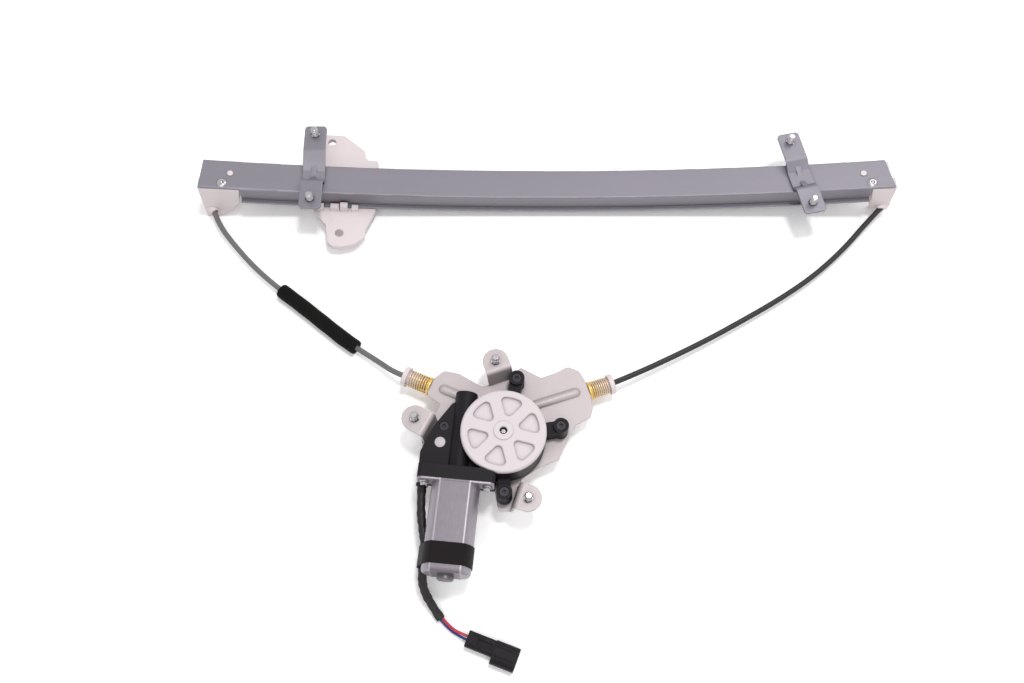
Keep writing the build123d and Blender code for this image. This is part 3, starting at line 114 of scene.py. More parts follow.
class RegulatorColours(bpy.types.PropertyGroup):
    """Colours of the finishes."""

    rail: colour_prop("Rail", "#85818A", "Galvanised rail and brackets")
    plate: colour_prop("Plate", "#B9AFB0", "Zinc plated plate")
    bright: colour_prop("Studs", "#B3AEB2", "Bright zinc studs, rivets and screws")
    motor: colour_prop("Motor can", "#6C666D", "Drawn steel can")
    spring: colour_prop("Spring seats", "#E6BC66", "Yellow zinc on the springs' inner turns")
    # the springs' outer turns take this colour by their distance from the drum's axis
    spring_end: colour_prop("Spring ends", "#DCC6AC", "Worn silvery zinc on the springs' outer turns")
    white: colour_prop("White mouldings", "#E6DADC", "Carrier, guides and ferrules")
    cover: colour_prop("Gear cover", "#D8CED2", "Gear cover")
    black: colour_prop("Black mouldings", "#1F1B20", "Gear housing")
    grey_sheath: colour_prop("Left conduit", "#6C6B6D", "Grey sheath")
    black_sheath: colour_prop("Right conduit", "#161618", "Black sheath")
    red: colour_prop("Red wire", "#C22F45", "Insulation")
    blue: colour_prop("Blue wire", "#1D2F7C", "Insulation")


# ------------------------------------------------------------------ node and mesh helpers


def add(tree, kind, inputs=None, **settings):
    """Add a node: settings go on it, and each of its inputs gets a value or a link from a socket."""
    made = tree.nodes.new(kind)
    for name, value in settings.items():
        setattr(made, name, value)
    for key, value in (inputs or {}).items():
        if isinstance(value, bpy.types.NodeSocket):
            tree.links.new(value, made.inputs[key])
        else:
            made.inputs[key].default_value = value
    return made


def new_material(name, base, roughness, **fixed):
    """A material with its Principled shader, and the tree to build on."""
    material = bpy.data.materials.new(name)
    material.use_nodes = True
    tree = material.node_tree
    shader = tree.nodes["Principled BSDF"]
    shader.inputs["Base Color"].default_value = base
    shader.inputs["Roughness"].default_value = roughness
    for key, value in fixed.items():
        shader.inputs[key.replace("_", " ")].default_value = value
    return material, tree, shader


def shade(colour, factor):
    """A colour with its light scaled, alpha kept."""
    return (*(min(1.0, c * factor) for c in colour[:3]), 1.0)


def finish_slots(node, material):
    """Give every slot of a node or piece one material."""
    slots = node.data.materials
    if not slots:
        slots.append(material)
    for i in range(len(slots)):
        slots[i] = material


def recolour(tree, factor, colour):
    """Lay a colour over the one that a finish already has, by a factor's socket."""
    base = tree.nodes["Principled BSDF"].inputs["Base Color"]
    mixed = add(
        tree, "ShaderNodeMix", {0: factor, 6: base.links[0].from_socket, 7: colour}, data_type="RGBA"
    ).outputs[2]
    tree.links.new(mixed, base)


# How every grained finish turns its masks into colour and gloss.
EDGE_FROM, EDGE_FULL = 0.97, 0.80  # rounded normal along the face's own, where an edge starts and is full
EDGE_PAINTED_HIGHLIGHT = 1.6  # of the painted highlight along an edge, over the finish's colour
GRAIN_LOW, GRAIN_HIGH = 0.3, 0.7  # of a noise, at its usual darkest and lightest
GLOSS_SWING = 0.06  # of the roughness, to either side
PAINTED_SHADE_REACH = 4 * MM
OPEN_FROM, OPEN_FULL = 0.9, 0.3  # share of the surroundings seen, where painted shade starts and is full
PAINTED_SHADE_DARK = 0.25  # of the painted shade in a corner, over the finish's colour


def grained(
    name, colour, roughness, cloud, grain, depth, spread, edge,
    rim=0.35, painted_shade=0.35, stretch=(1, 1, 1), **fixed,
):
    """A surface with broad clouds and fine grain in its colour, gloss and relief, a painted highlight
    along its edges and painted shade in its corners.

    cloud and grain are in millimetres, depth is the grain's relief in metres, spread is how far the
    clouds move the colour, edge is how much lighter the painted highlight along an edge is, rim is
    that edge's width in millimetres, and the amount of painted shade is how much darker a corner,
    recess or gap between parts is."""
    material, tree, shader = new_material(name, colour, roughness, **fixed)
    place = add(tree, "ShaderNodeTexCoord").outputs["Object"]
    turned = add(tree, "ShaderNodeMapping", {"Vector": place, "Scale": stretch}).outputs[0]
    clouds = add(tree, "ShaderNodeTexNoise", {"Vector": turned, "Scale": per_mm(cloud), "Detail": 3.0})
    grains = add(tree, "ShaderNodeTexNoise", {"Vector": turned, "Scale": per_mm(grain), "Detail": 4.0})
    mixed = add(
        tree, "ShaderNodeMix",
        {0: clouds.outputs[0], 6: shade(colour, 1 - spread), 7: shade(colour, 1 + spread)},
        data_type="RGBA",
    ).outputs[2]
    relief = add(
        tree, "ShaderNodeBump", {"Height": grains.outputs[0], "Strength": 1.0, "Distance": depth}
    ).outputs[0]
    rounded = add(tree, "ShaderNodeBevel", {"Radius": rim * MM, "Normal": relief}, samples=4).outputs[0]
    flat = add(tree, "ShaderNodeNewGeometry").outputs["Normal"]
    along = add(
        tree, "ShaderNodeVectorMath", {0: rounded, 1: flat}, operation="DOT_PRODUCT"
    ).outputs["Value"]
    # painted highlight: a lighter colour along every edge, where the rounded normal turns away from the
    # face's own
    highlight_and_silver = add(
        tree, "ShaderNodeMapRange",
        {"Value": along, "From Min": EDGE_FROM, "From Max": EDGE_FULL, "To Max": edge},
    ).outputs[0]
    tinted = add(
        tree, "ShaderNodeMix", {0: highlight_and_silver, 6: mixed, 7: shade(colour, EDGE_PAINTED_HIGHLIGHT)}, data_type="RGBA"
    ).outputs[2]
    gloss = add(
        tree, "ShaderNodeMapRange",
        {"Value": grains.outputs[0], "From Min": GRAIN_LOW, "From Max": GRAIN_HIGH,
         "To Min": roughness - GLOSS_SWING, "To Max": roughness + GLOSS_SWING},
    ).outputs[0]
    # painted shade: a darker colour where little of the surroundings is open, in corners, recesses and
    # gaps between parts
    open_to = add(tree, "ShaderNodeAmbientOcclusion", {"Distance": PAINTED_SHADE_REACH}, samples=6).outputs["AO"]
    painted_shade_mask = add(
        tree, "ShaderNodeMapRange",
        {"Value": open_to, "From Min": OPEN_FROM, "From Max": OPEN_FULL, "To Max": painted_shade},
    ).outputs[0]
    painted_shade_colour = add(
        tree, "ShaderNodeMix", {0: painted_shade_mask, 6: tinted, 7: shade(colour, PAINTED_SHADE_DARK)}, data_type="RGBA"
    ).outputs[2]
    tree.links.new(painted_shade_colour, shader.inputs["Base Color"])
    tree.links.new(gloss, shader.inputs["Roughness"])
    tree.links.new(rounded, shader.inputs["Normal"])
    return material


# ------------------------------------------------------------------ materials


def galvanised_sheet(colours):
    """Hot-dip galvanised strip, roll formed: soft lilac-grey clouds drawn out along the rail."""
    return grained(
        "galvanised_strip_roll_formed", colours.rail, 0.46, cloud=14, grain=1.1, depth=0.02 * MM,
        spread=0.05, edge=1.0, rim=1.0, painted_shade=0.6, stretch=(0.15, 1, 1), Metallic=0.5,
    )


def zinc_plate(colours):
    """Zinc plated pressed steel: pale, warm and satin, with faint press clouds."""
    return grained(
        "zinc_plated_pressing", colours.plate, 0.5, cloud=11, grain=0.9, depth=0.015 * MM,
        spread=0.05, edge=0.5, rim=0.7, painted_shade=0.75, Metallic=0.3,
    )


def bright_zinc(colours):
    """Bright zinc plated fasteners: mirror-like glints on turned steel."""
    return grained(
        "bright_zinc_fastener", colours.bright, 0.2, cloud=3, grain=0.7, depth=0.01 * MM,
        spread=0.06, edge=0.2, painted_shade=0.8, Metallic=1.0,
    )


CORNER_ACROSS = 11.3 * MM  # from the motor's axis to where the can's flat meets a round
CAN_PAINTED_HIGHLIGHT = 3.2  # of the painted highlight on a corner line and the painted reflection on the rounds, over the can's colour
CORNER_AMOUNT, ROUND_AMOUNT = 0.8, 0.48  # of that colour, on the corner's line and on the rounds
ROUND_FROM, ROUND_FULL = -0.5 * MM, 1.5 * MM  # past the corner, where the rounds' share is 0 and full
CORNER_CORE, CORNER_REACH = 0.2 * MM, 1.2 * MM  # to either side of the corner's line


def drawn_can(colours):
    """Deep-drawn motor can: satin steel, with a painted highlight on the lines where its flats turn into
    its rounds and a painted reflection on the rounds.
    """
    material = grained(
        "deep_drawn_steel_can", colours.motor, 0.4, cloud=16, grain=0.8, depth=0.02 * MM,
        spread=0.05, edge=0.5, rim=0.6, stretch=(1, 0.12, 1), Metallic=0.6,
    )
    tree = material.node_tree
    place = add(tree, "ShaderNodeTexCoord").outputs["Object"]
    out = add(tree, "ShaderNodeVectorMath", {0: place, 1: MOTOR_FOOT}, operation="SUBTRACT").outputs[0]
    across = add(
        tree, "ShaderNodeVectorMath", {0: out, 1: MOTOR_ACROSS}, operation="DOT_PRODUCT"
    ).outputs["Value"]
    side = add(tree, "ShaderNodeMath", {0: across}, operation="ABSOLUTE").outputs[0]
    offset = add(tree, "ShaderNodeMath", {0: side, 1: CORNER_ACROSS}, operation="SUBTRACT").outputs[0]
    rounds = add(
        tree, "ShaderNodeMapRange",
        {"Value": offset, "From Min": ROUND_FROM, "From Max": ROUND_FULL, "To Max": ROUND_AMOUNT},
    ).outputs[0]
    near = add(tree, "ShaderNodeMath", {0: offset}, operation="ABSOLUTE").outputs[0]
    line = add(
        tree, "ShaderNodeMapRange",
        {"Value": near, "From Min": CORNER_REACH, "From Max": CORNER_CORE, "To Max": CORNER_AMOUNT},
    ).outputs[0]
    # painted highlight on the corner lines and painted reflection on the rounds, whichever is stronger
    painted_highlight = add(tree, "ShaderNodeMath", {0: line, 1: rounds}, operation="MAXIMUM").outputs[0]
    recolour(tree, painted_highlight, shade(colours.motor, CAN_PAINTED_HIGHLIGHT))
    return material


SILVER_FROM, SILVER_FULL = 79 * MM, 87 * MM  # from the drum's axis, where the springs turn silver


def yellow_zinc(colours):
    """Yellow chromate on spring wire: gold by the seat, turning silver further out from the drum's axis.
    """
    material = grained(
        "yellow_chromate_spring_wire", colours.spring, 0.32, cloud=4, grain=0.7, depth=0.01 * MM,
        spread=0.14, edge=0.2, painted_shade=0.6, Metallic=0.6,
    )
    tree = material.node_tree
    place = add(tree, "ShaderNodeTexCoord").outputs["Object"]
    flat = add(tree, "ShaderNodeVectorMath", {0: place, 1: (1, 1, 0)}, operation="MULTIPLY").outputs[0]
    away = add(tree, "ShaderNodeVectorMath", {0: flat, 1: HUB}, operation="DISTANCE").outputs["Value"]
    highlight_and_silver = add(
        tree, "ShaderNodeMapRange", {"Value": away, "From Min": SILVER_FROM, "From Max": SILVER_FULL}
    ).outputs[0]
    recolour(tree, highlight_and_silver, colours.spring_end)
    return material


def acetal(colours):
    """Natural acetal, injection moulded: warm white, waxy, with light passing a little into it."""
    return grained(
        "acetal_moulded_natural", colours.white, 0.42, cloud=18, grain=1.0, depth=0.012 * MM,
        spread=0.025, edge=0.3, painted_shade=0.3, IOR=1.48, Subsurface_Weight=0.06, Subsurface_Scale=1.5 * MM,
    )


def cover_polymer(colours):
    """Filled polyester moulding: cooler white with a finer, drier satin."""
    return grained(
        "polyester_moulded_cover", colours.cover, 0.46, cloud=20, grain=0.9, depth=0.012 * MM,
        spread=0.02, edge=0.8, rim=0.7, painted_shade=0.8, IOR=1.55,
    )


def black_nylon(colours):
    """Glass-filled nylon, moulded with a fine spark-eroded texture: charcoal, with a painted grey
    highlight along its edges.
    """
    return grained(
        "glass_filled_nylon_black", colours.black, 0.5, cloud=10, grain=0.7, depth=0.03 * MM,
        spread=0.12, edge=0.9, rim=0.5, painted_shade=0.6, IOR=1.53, Specular_IOR_Level=0.12,
    )


PLAIN_FINISHES = {
    # name: colour, roughness, cloud mm, grain mm, relief mm, colour spread, edge, metallic
    "cable_steel": ("#8E8E92", 0.35, 2, 0.7, 0.02, 0.10, 0.2, 1.0),  # stranded wire, grey glints
    "core_steel": ("#55555B", 0.45, 3, 0.8, 0.02, 0.10, 0.2, 1.0),  # stacked laminations, dull
    "black_steel": ("#343135", 0.45, 4, 0.8, 0.02, 0.10, 0.3, 1.0),  # black oxide screws
    "terminal_tin": ("#CFCFD2", 0.28, 3, 0.7, 0.01, 0.06, 0.2, 1.0),  # tinned brass blades
    "bronze": ("#A87B4B", 0.5, 2, 0.6, 0.03, 0.12, 0.2, 1.0),  # sintered bushes, oily
    "copper": ("#B5683C", 0.35, 2, 0.6, 0.02, 0.10, 0.2, 1.0),  # enamelled windings
    "drum_plastic": ("#D9D7CC", 0.45, 12, 0.9, 0.01, 0.03, 0.1, 0.0),  # acetal drum, wheel
    "vent_grey": ("#C6BFC5", 0.4, 4, 0.8, 0.01, 0.03, 0.1, 0.0),  # moulded vent plug
    "seal_rubber": ("#C97A62", 0.55, 4, 0.7, 0.02, 0.06, 0.1, 0.0),  # silicone seal
    "seal_black": ("#151515", 0.6, 4, 0.7, 0.02, 0.08, 0.1, 0.0),  # rubber damper
    "magnet": ("#37373A", 0.55, 4, 0.7, 0.03, 0.10, 0.2, 0.2),  # pressed ferrite
    "carbon": ("#242425", 0.6, 3, 0.6, 0.03, 0.10, 0.1, 0.1),  # carbon brushes
}
REAL_NAMES = {
    "cable_steel": "stranded_steel_wire",
    "core_steel": "laminated_electrical_steel",
    "black_steel": "black_oxide_steel",
    "terminal_tin": "tinned_brass_strip",
    "bronze": "sintered_bronze",
    "copper": "enamelled_copper_wire",
    "drum_plastic": "acetal_moulded_ivory",
    "vent_grey": "polypropylene_moulded_grey",
    "seal_rubber": "silicone_moulded_seal",
    "seal_black": "nitrile_moulded_damper",
    "magnet": "pressed_ferrite",
    "carbon": "pressed_carbon",
}


def plain_finish(slot):
    """One of the small finishes that are told apart by colour, gloss and grain alone."""
    code, roughness, cloud, grain, depth, spread, edge, metallic = PLAIN_FINISHES[slot]
    return grained(
        REAL_NAMES[slot], linear(code), roughness, cloud, grain, depth * MM, spread, edge,
        Metallic=metallic,
    )


RIB_PITCH = 1.0053 * MM
WAVE_SCALE = 2 * pi / 20  # of a wave texture that has one band a unit


def sheath(name, colour, length):
    """Extruded sheath over a steel coil, whose turns show as faint ribs about 1 mm apart."""
    material, tree, shader = new_material(name, colour, 0.42, IOR=1.48)
    along = add(tree, "ShaderNodeTexCoord").outputs["UV"]
    ribs = add(
        tree, "ShaderNodeTexWave",
        {"Vector": along, "Scale": length / RIB_PITCH * WAVE_SCALE, "Distortion": 0.0},
        bands_direction="X",
    )
    relief = add(
        tree, "ShaderNodeBump", {"Height": ribs.outputs[1], "Strength": 0.5, "Distance": 0.15 * MM}
    ).outputs[0]
    # painted shade and highlight across the ribs: darker in the grooves, lighter on the crests
    painted_shade_colour = add(
        tree, "ShaderNodeMix",
        {0: ribs.outputs[1], 6: shade(colour, 0.86), 7: shade(colour, 1.1)}, data_type="RGBA",
    ).outputs[2]
    tree.links.new(painted_shade_colour, shader.inputs["Base Color"])
    tree.links.new(relief, shader.inputs["Normal"])
    return material


def insulation(name, colour):
    """Extruded wire insulation: smooth and glossy."""
    return grained(
        name, colour, 0.3, cloud=6, grain=0.8, depth=0.01 * MM, spread=0.05, edge=0.0, IOR=1.52
    )


def vinyl_sleeve():
    """Extruded vinyl sleeve over the wires: soft black with a satin gleam along its creases."""
    return grained(
        "pvc_extruded_sleeve", linear("#201C1F"), 0.45, cloud=5, grain=0.8, depth=0.05 * MM,
        spread=0.15, edge=0.4, IOR=1.52, Specular_IOR_Level=0.3,
    )


def cloth_tape():
    """Black fleece harness tape: matt, fibrous, with a faint sheen."""
    return grained(
        "fleece_harness_tape", linear("#140E10"), 0.65, cloud=3, grain=0.6, depth=0.08 * MM,
        spread=0.2, edge=0.8, rim=0.7, Sheen_Weight=0.02, Sheen_Roughness=0.5, Specular_IOR_Level=0.15,
    )


def open_foam():
    """Open-cell foam: dull black, pitted by cells drawn at 0.8 mm to be seen."""
    material, tree, shader = new_material(
        "polyurethane_foam_black", linear("#101010"), 0.9, Specular_IOR_Level=0.15
    )
    place = add(tree, "ShaderNodeTexCoord").outputs["Object"]
    cells = add(tree, "ShaderNodeTexVoronoi", {"Vector": place, "Scale": per_mm(0.8)})
    clouds = add(tree, "ShaderNodeTexNoise", {"Vector": place, "Scale": per_mm(9), "Detail": 3.0})
    relief = add(
        tree, "ShaderNodeBump",
        {"Height": cells.outputs["Distance"], "Strength": 0.8, "Distance": 0.25 * MM},
    ).outputs[0]
    tone = add(
        tree, "ShaderNodeMix", {0: clouds.outputs[0], 6: linear("#0B0B0B"), 7: linear("#191817")},
        data_type="RGBA",
    ).outputs[2]
    tree.links.new(tone, shader.inputs["Base Color"])
    tree.links.new(relief, shader.inputs["Normal"])
    return material


# ------------------------------------------------------------------ mesh helpers


def finished(name, bm, crease=40.0):
    """Turn a bmesh into an object at the origin, smooth but for edges sharper than crease degrees."""
    mesh = bpy.data.meshes.new(name)
    bm.to_mesh(mesh)
    bm.free()
    mesh.shade_smooth()
    mesh.set_sharp_from_angle(angle=radians(crease))
    made = bpy.data.objects.new(name, mesh)
    bpy.context.scene.collection.objects.link(made)
    return made


def stood_at(place, axis):
    """The matrix that stands a shape made about Z at a place, along an axis."""
    return Matrix.Translation(place) @ axis.to_track_quat("Z", "Y").to_matrix().to_4x4()


def rounded_edges(bm, corners, size):
    """Round every edge at some corners."""
    edges = list({e for v in corners for e in v.link_edges})
    bmesh.ops.bevel(bm, geom=edges, offset=size, affect="EDGES", segments=2, profile=0.5, material=-1)


def tube_along(name, points, sections, sides):
    """A closed tube with rings square to a line; a section is a ring's half width and half height."""
    bm = bmesh.new()
    rings = []
    up = Vector((0, 0, 1))
    for i, (point, (wide, high)) in enumerate(zip(points, sections)):
        ahead = (points[min(i + 1, len(points) - 1)] - points[max(i - 1, 0)]).normalized()
        side = ahead.cross(up).normalized()
        facing = Matrix((side, side.cross(ahead), ahead)).transposed().to_4x4()
        made = bmesh.ops.create_circle(
            bm, cap_ends=False, radius=1.0, segments=sides,
            matrix=Matrix.Translation(point) @ facing @ Matrix.Diagonal((wide, high, 1.0, 1.0)),
        )
        rings.append(made["verts"])
    for first, second in zip(rings, rings[1:]):
        both = set(first) | set(second)
        loops = {e for v in both for e in v.link_edges if e.verts[0] in both and e.verts[1] in both}
        loops = {e for e in loops if (e.verts[0] in first) == (e.verts[1] in first)}
        bmesh.ops.bridge_loops(bm, edges=list(loops))
    bmesh.ops.holes_fill(bm, edges=[e for e in bm.edges if e.is_boundary], sides=0)
    bmesh.ops.recalc_face_normals(bm, faces=bm.faces)
    return finished(name, bm)


SAME_POINT = 1e-7


def turn(bm, outline, place, axis, steps=32, ring=False):
    """Spin an outline of (radius, height) pairs about an axis at a place.

    The outline starts and ends on the axis, or is closed on itself for a ring."""
    corners = [bm.verts.new((radius, 0.0, height)) for radius, height in outline]
    edges = [bm.edges.new(pair) for pair in zip(corners, corners[1:] + corners[:1] * ring)]
    old = set(bm.verts) - set(corners)
    bmesh.ops.spin(
        bm, geom=corners + edges, cent=(0, 0, 0), axis=(0, 0, 1), angle=2 * pi, steps=steps,
        use_merge=True,
    )
    bmesh.ops.remove_doubles(bm, verts=[v for v in bm.verts if v not in old], dist=SAME_POINT)
    made = [v for v in bm.verts if v not in old]
    bmesh.ops.recalc_face_normals(bm, faces=list({f for v in made for f in v.link_faces}))
    bmesh.ops.transform(bm, matrix=stood_at(place, axis), verts=made)


# ------------------------------------------------------------------ camera

CAMERA_PLACE = (-0.029, -0.32885, 0.787)
CAMERA_LEAN = 23.0  # degrees from straight down
CAMERA_LENS, CAMERA_SENSOR = 36.914, 36.0  # millimetres


class REGULATOR_OT_camera(bpy.types.Operator):
    """Place the camera over the regulator, leaning towards its far side"""

    bl_idname = "regulator.camera"
    bl_label = "Camera"

    def execute(self, context):
        lens = bpy.data.cameras.new("camera")
        lens.lens = CAMERA_LENS
        lens.sensor_width = CAMERA_SENSOR
        camera = bpy.data.objects.new("camera", lens)
        camera.location = CAMERA_PLACE
        camera.rotation_euler = (radians(CAMERA_LEAN), 0.0, 0.0)
        context.scene.collection.objects.link(camera)
        context.scene.camera = camera
        return {"FINISHED"}


# ------------------------------------------------------------------ cords

# Routes and lengths in metres, each from its exit to its far end.
LEFT_ROUTE = (
    (-0.2822, 0.1225, 0.0101), (-0.2770, 0.1090, 0.0098), (-0.2613, 0.0888, 0.0085),
    (-0.2426, 0.0683, 0.0074), (-0.2224, 0.0506, 0.0067), (-0.2009, 0.0342, 0.0064),
    (-0.1801, 0.0170, 0.0063), (-0.1593, 0.0002, 0.0060), (-0.1349, -0.0163, 0.0082),
    (-0.1220, -0.0277, 0.0152), (-0.1108, -0.0318, 0.0150),
)
RIGHT_ROUTE = (
    (0.2865, 0.1256, 0.0140), (0.2721, 0.1117, 0.0115), (0.2495, 0.0863, 0.0092),
    (0.2215, 0.0609, 0.0084), (0.1914, 0.0400, 0.0079), (0.1599, 0.0211, 0.0080),
    (0.1282, 0.0028, 0.0086), (0.0950, -0.0148, 0.0105), (0.0640, -0.0307, 0.0142),
    (0.0467, -0.0382, 0.0150),
)
LEAD_ROUTE = (
    (-0.0960, -0.1236, 0.0270), (-0.0964, -0.1365, 0.0254), (-0.0954, -0.1510, 0.0234),
    (-0.0924, -0.1652, 0.0225), (-0.0944, -0.1866, 0.0223), (-0.0935, -0.1963, 0.0136),
    (-0.0878, -0.2063, 0.0064), (-0.0807, -0.2160, 0.0033),
)
RED_ROUTE = (
    (-0.0804, -0.2145, 0.0040), (-0.0732, -0.2230, 0.0052), (-0.06447, -0.22718, 0.0064),
    (-0.05512, -0.23075, 0.0060),
)
BLUE_ROUTE = (
    (-0.0813, -0.2162, 0.0024), (-0.0743, -0.2239, 0.0024), (-0.0654, -0.2291, 0.0042),
    (-0.05627, -0.23373, 0.0060),
)
LEFT_LENGTH = 0.2338
RIGHT_LENGTH = 0.2926
RED_LENGTH = 0.0308
BLUE_LENGTH = 0.0310
LINE_STEPS = 24  # points between two of a route's own
CORD_ROUNDNESS = 6
LEAD_SIDES, FOAM_SIDES = 24, 32


def nurbs_line(name, route):
    """A smooth NURBS curve along a route, from its first point to its last."""
    curve = bpy.data.curves.new(name, "CURVE")
    curve.dimensions = "3D"
    curve.resolution_u = LINE_STEPS
    spline = curve.splines.new("NURBS")
    spline.points.add(len(route) - 1)
    for point, place in zip(spline.points, route):
        point.co = (*place, 1.0)
    spline.order_u = 3
    spline.use_endpoint_u = True
    return curve


def cord_curve(name, route, diameter, material):
    """A round cord along a route."""
    curve = nurbs_line(name, route)
    curve.bevel_depth = diameter / 2
    curve.bevel_resolution = CORD_ROUNDNESS
    curve.use_fill_caps = True
    made = bpy.data.objects.new(name, curve)
    bpy.context.scene.collection.objects.link(made)
    curve.materials.append(material)
    return made


def centreline(route):
    """Points along the NURBS line of a route."""
    curve = nurbs_line("line", route)
    holder = bpy.data.objects.new("line", curve)
    mesh = bpy.data.meshes.new_from_object(holder)
    points = [v.co.copy() for v in mesh.vertices]
    bpy.data.objects.remove(holder)
    bpy.data.curves.remove(curve)
    bpy.data.meshes.remove(mesh)
    return points


class REGULATOR_OT_conduits(bpy.types.Operator):
    """Lay the two cable conduits between the rail's guides and the drum's ferrules"""

    bl_idname = "regulator.conduits"
    bl_label = "Conduits"

    def execute(self, context):
        sizes, colours = context.scene.regulator_sizes, context.scene.regulator_colours
        grey = sheath("polypropylene_sheath_grey", colours.grey_sheath, LEFT_LENGTH)
        black = sheath("nylon_sheath_black", colours.black_sheath, RIGHT_LENGTH)
        for name, route, length, material, slot in (
            ("left_conduit_sheath", LEFT_ROUTE, LEFT_LENGTH, grey, "grey_conduit"),
            ("right_conduit_sheath", RIGHT_ROUTE, RIGHT_LENGTH, black, "black_conduit"),
        ):
            piece = cord_curve(name, route, sizes.conduit_diameter, material)
            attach(piece, "regulator")
            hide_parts(name.removesuffix("_sheath"))
        return {"FINISHED"}


PLUG_MIDDLE = Vector((-0.0613, -0.2301, 0.0))  # of the plug's wire end, on the table
PLUG_TURN = radians(-20.9)
PLUG_RIBS = (
    # millimetres: along the plug from its wire end, across it, length, width, height over its top
    (29.5, 2.2, 15.0, 0.7, 0.0), (29.5, -4.6, 15.0, 0.7, 0.0),  # on the shroud
    (8.0, -3.6, 9.0, 0.6, -1.5), (8.0, 3.6, 9.0, 0.6, -1.5),  # on the lower body
    *((24.0 + 2.6 * i, -7.9, 0.9, 2.6, 0.0) for i in range(5)),  # grips on the lower side
)
RIB_HEIGHT = 0.9 * MM
RIB_ROUND = 0.15 * MM


def plug_ribs(material):
    """Raised ribs on the plug's shroud and body, and the grips at its lower side."""
    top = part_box("plug_housing")[1][2]
    bm = bmesh.new()
    for along, across, length, width, over in PLUG_RIBS:
        shape = Matrix.Diagonal((length * MM, width * MM, RIB_HEIGHT, 1.0))
        place = Matrix.Translation((along * MM, across * MM, over * MM))
        rounded_edges(bm, bmesh.ops.create_cube(bm, size=1.0, matrix=place @ shape)["verts"], RIB_ROUND)
    turned = Matrix.Rotation(PLUG_TURN, 4, "Z")
    turned = Matrix.Translation(PLUG_MIDDLE + Vector((0, 0, top))) @ turned
    bmesh.ops.transform(bm, matrix=turned, verts=bm.verts)
    made = finished("plug_ribs", bm)
    finish_slots(made, material)
    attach(made, "regulator")
    return made


LEAD_WIDE, LEAD_HIGH = 1.08, 0.88  # of a sleeve that lies a little flat, over its radius
LEAD_CREASES = ((0.05, 0.55, 0.0), (0.04, 0.23, 1.0))  # depth over the radius, radians a ring, phase


class REGULATOR_OT_lead(bpy.types.Operator):
    """Lay the taped lead and its two wires from the motor to the plug"""

    bl_idname = "regulator.lead"
    bl_label = "Lead and wires"

    def execute(self, context):
        sizes, colours = context.scene.regulator_sizes, context.scene.regulator_colours
        line = centreline(LEAD_ROUTE)
        radius = sizes.lead_diameter / 2
        sections = []
        for i in range(len(line)):
            crease = sum(depth * sin(i * step + phase) for depth, step, phase in LEAD_CREASES)
            sections.append((radius * (LEAD_WIDE + crease), radius * (LEAD_HIGH - crease)))
        lead = tube_along("lead", line, sections, LEAD_SIDES)
        finish_slots(lead, vinyl_sleeve())
        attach(lead, "regulator")
        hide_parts("lead_sleeve")
        plug = [frame["nodes"][n] for n in ("plug_housing", "plug_seal", "plug_terminals")]
        plug.append(plug_ribs(black_nylon(colours)))
        for name, route, length, colour, node, carried in (
            ("wire_red", RED_ROUTE, RED_LENGTH, colours.red, "red_wire", plug),
            ("wire_blue", BLUE_ROUTE, BLUE_LENGTH, colours.blue, "blue_wire", plug[:1]),
        ):
            wire = cord_curve(name, route, sizes.wire_diameter, insulation(f"pvc_{name}", colour))
            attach(wire, "regulator")
            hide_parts(node)
        return {"FINISHED"}


# ------------------------------------------------------------------ foam sleeve on the left conduit

FOAM_WAVE, FOAM_STEP = 0.012, 0.31  # of its radius, and radians a ring
FOAM_CUT = 0.4 * MM  # how much its ends draw in


def stretch_of(points, start, length):
    """The part of a line that runs for a length from a distance along it."""
    kept, travelled = [], 0.0
    for before, here in zip(points, points[1:]):
        travelled += (here - before).length
        if start <= travelled <= start + length:
            kept.append(here)
    return kept


class REGULATOR_OT_foam(bpy.types.Operator):
    """Wrap the anti-rattle foam round the left conduit"""

    bl_idname = "regulator.foam"
    bl_label = "Foam sleeve"

    def execute(self, context):
        sizes = context.scene.regulator_sizes
        points = stretch_of(centreline(LEFT_ROUTE), sizes.foam_start, sizes.foam_length)
        radius = sizes.foam_diameter / 2
        radii = [radius * (1 + FOAM_WAVE * sin(i * FOAM_STEP)) for i in range(len(points))]
        radii[0] = radii[-1] = radius - FOAM_CUT
        foam = tube_along("foam_wrap", points, [(r, r) for r in radii], FOAM_SIDES)
        finish_slots(foam, open_foam())
        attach(foam, "regulator")
        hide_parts("foam_sleeve")
        return {"FINISHED"}


# ------------------------------------------------------------------ studs, rivets and screws

PLATE_STUDS = ((-0.0416, -0.02655), (-0.1024, -0.07285), (-0.0170, -0.13445))
BRACKET_STUDS = (
    (-0.1945, 0.1152), (-0.1945, 0.1774), (0.2171215, 0.1114119), (0.204626, 0.1701985),
)
STUD_RADIUS = 3.0 * MM
STUD_FOOT = 0.5 * MM  # of plain shank under the thread
THREAD_DEPTH = 0.5 * MM
THREAD_ROOT, THREAD_CREST = 0.45, 0.9  # of the pitch, where a turn is deepest and where it is full again
STUD_POINT = 1.0 * MM  # of plain end over the thread, at least
STUD_TIP = (
    # millimetres in from the radius, and over the thread's end or the stud's own
    (0.5, 0.4), (0.7, -0.35), (1.1, 0.0),
)
RIVETS = ((-0.2685, 0.1306), (0.2685, 0.1306))
RIVET_SINK = 0.35 * MM  # of the rim under the box's top, for the lean
RIVET_FOOT = 0.6 * MM  # of the shank's end over the box's bottom
RIVET_SHANK = 2.0 * MM
RIVET_HEAD = (
    # millimetres from its axis and over its rim: the shank, the head's dome, then the hollow of the tube
    (2.0, -1.6), (4.2, -1.6), (4.2, -1.2), (3.7, -0.55), (2.7, -0.1), (2.0, 0.0),
    (1.5, -0.15), (1.3, -0.9), (0.6, -1.2), (0.0, -1.25),
)
BOW_RADIUS = 2.301  # of the rail's web, whose ends stand higher than its middle
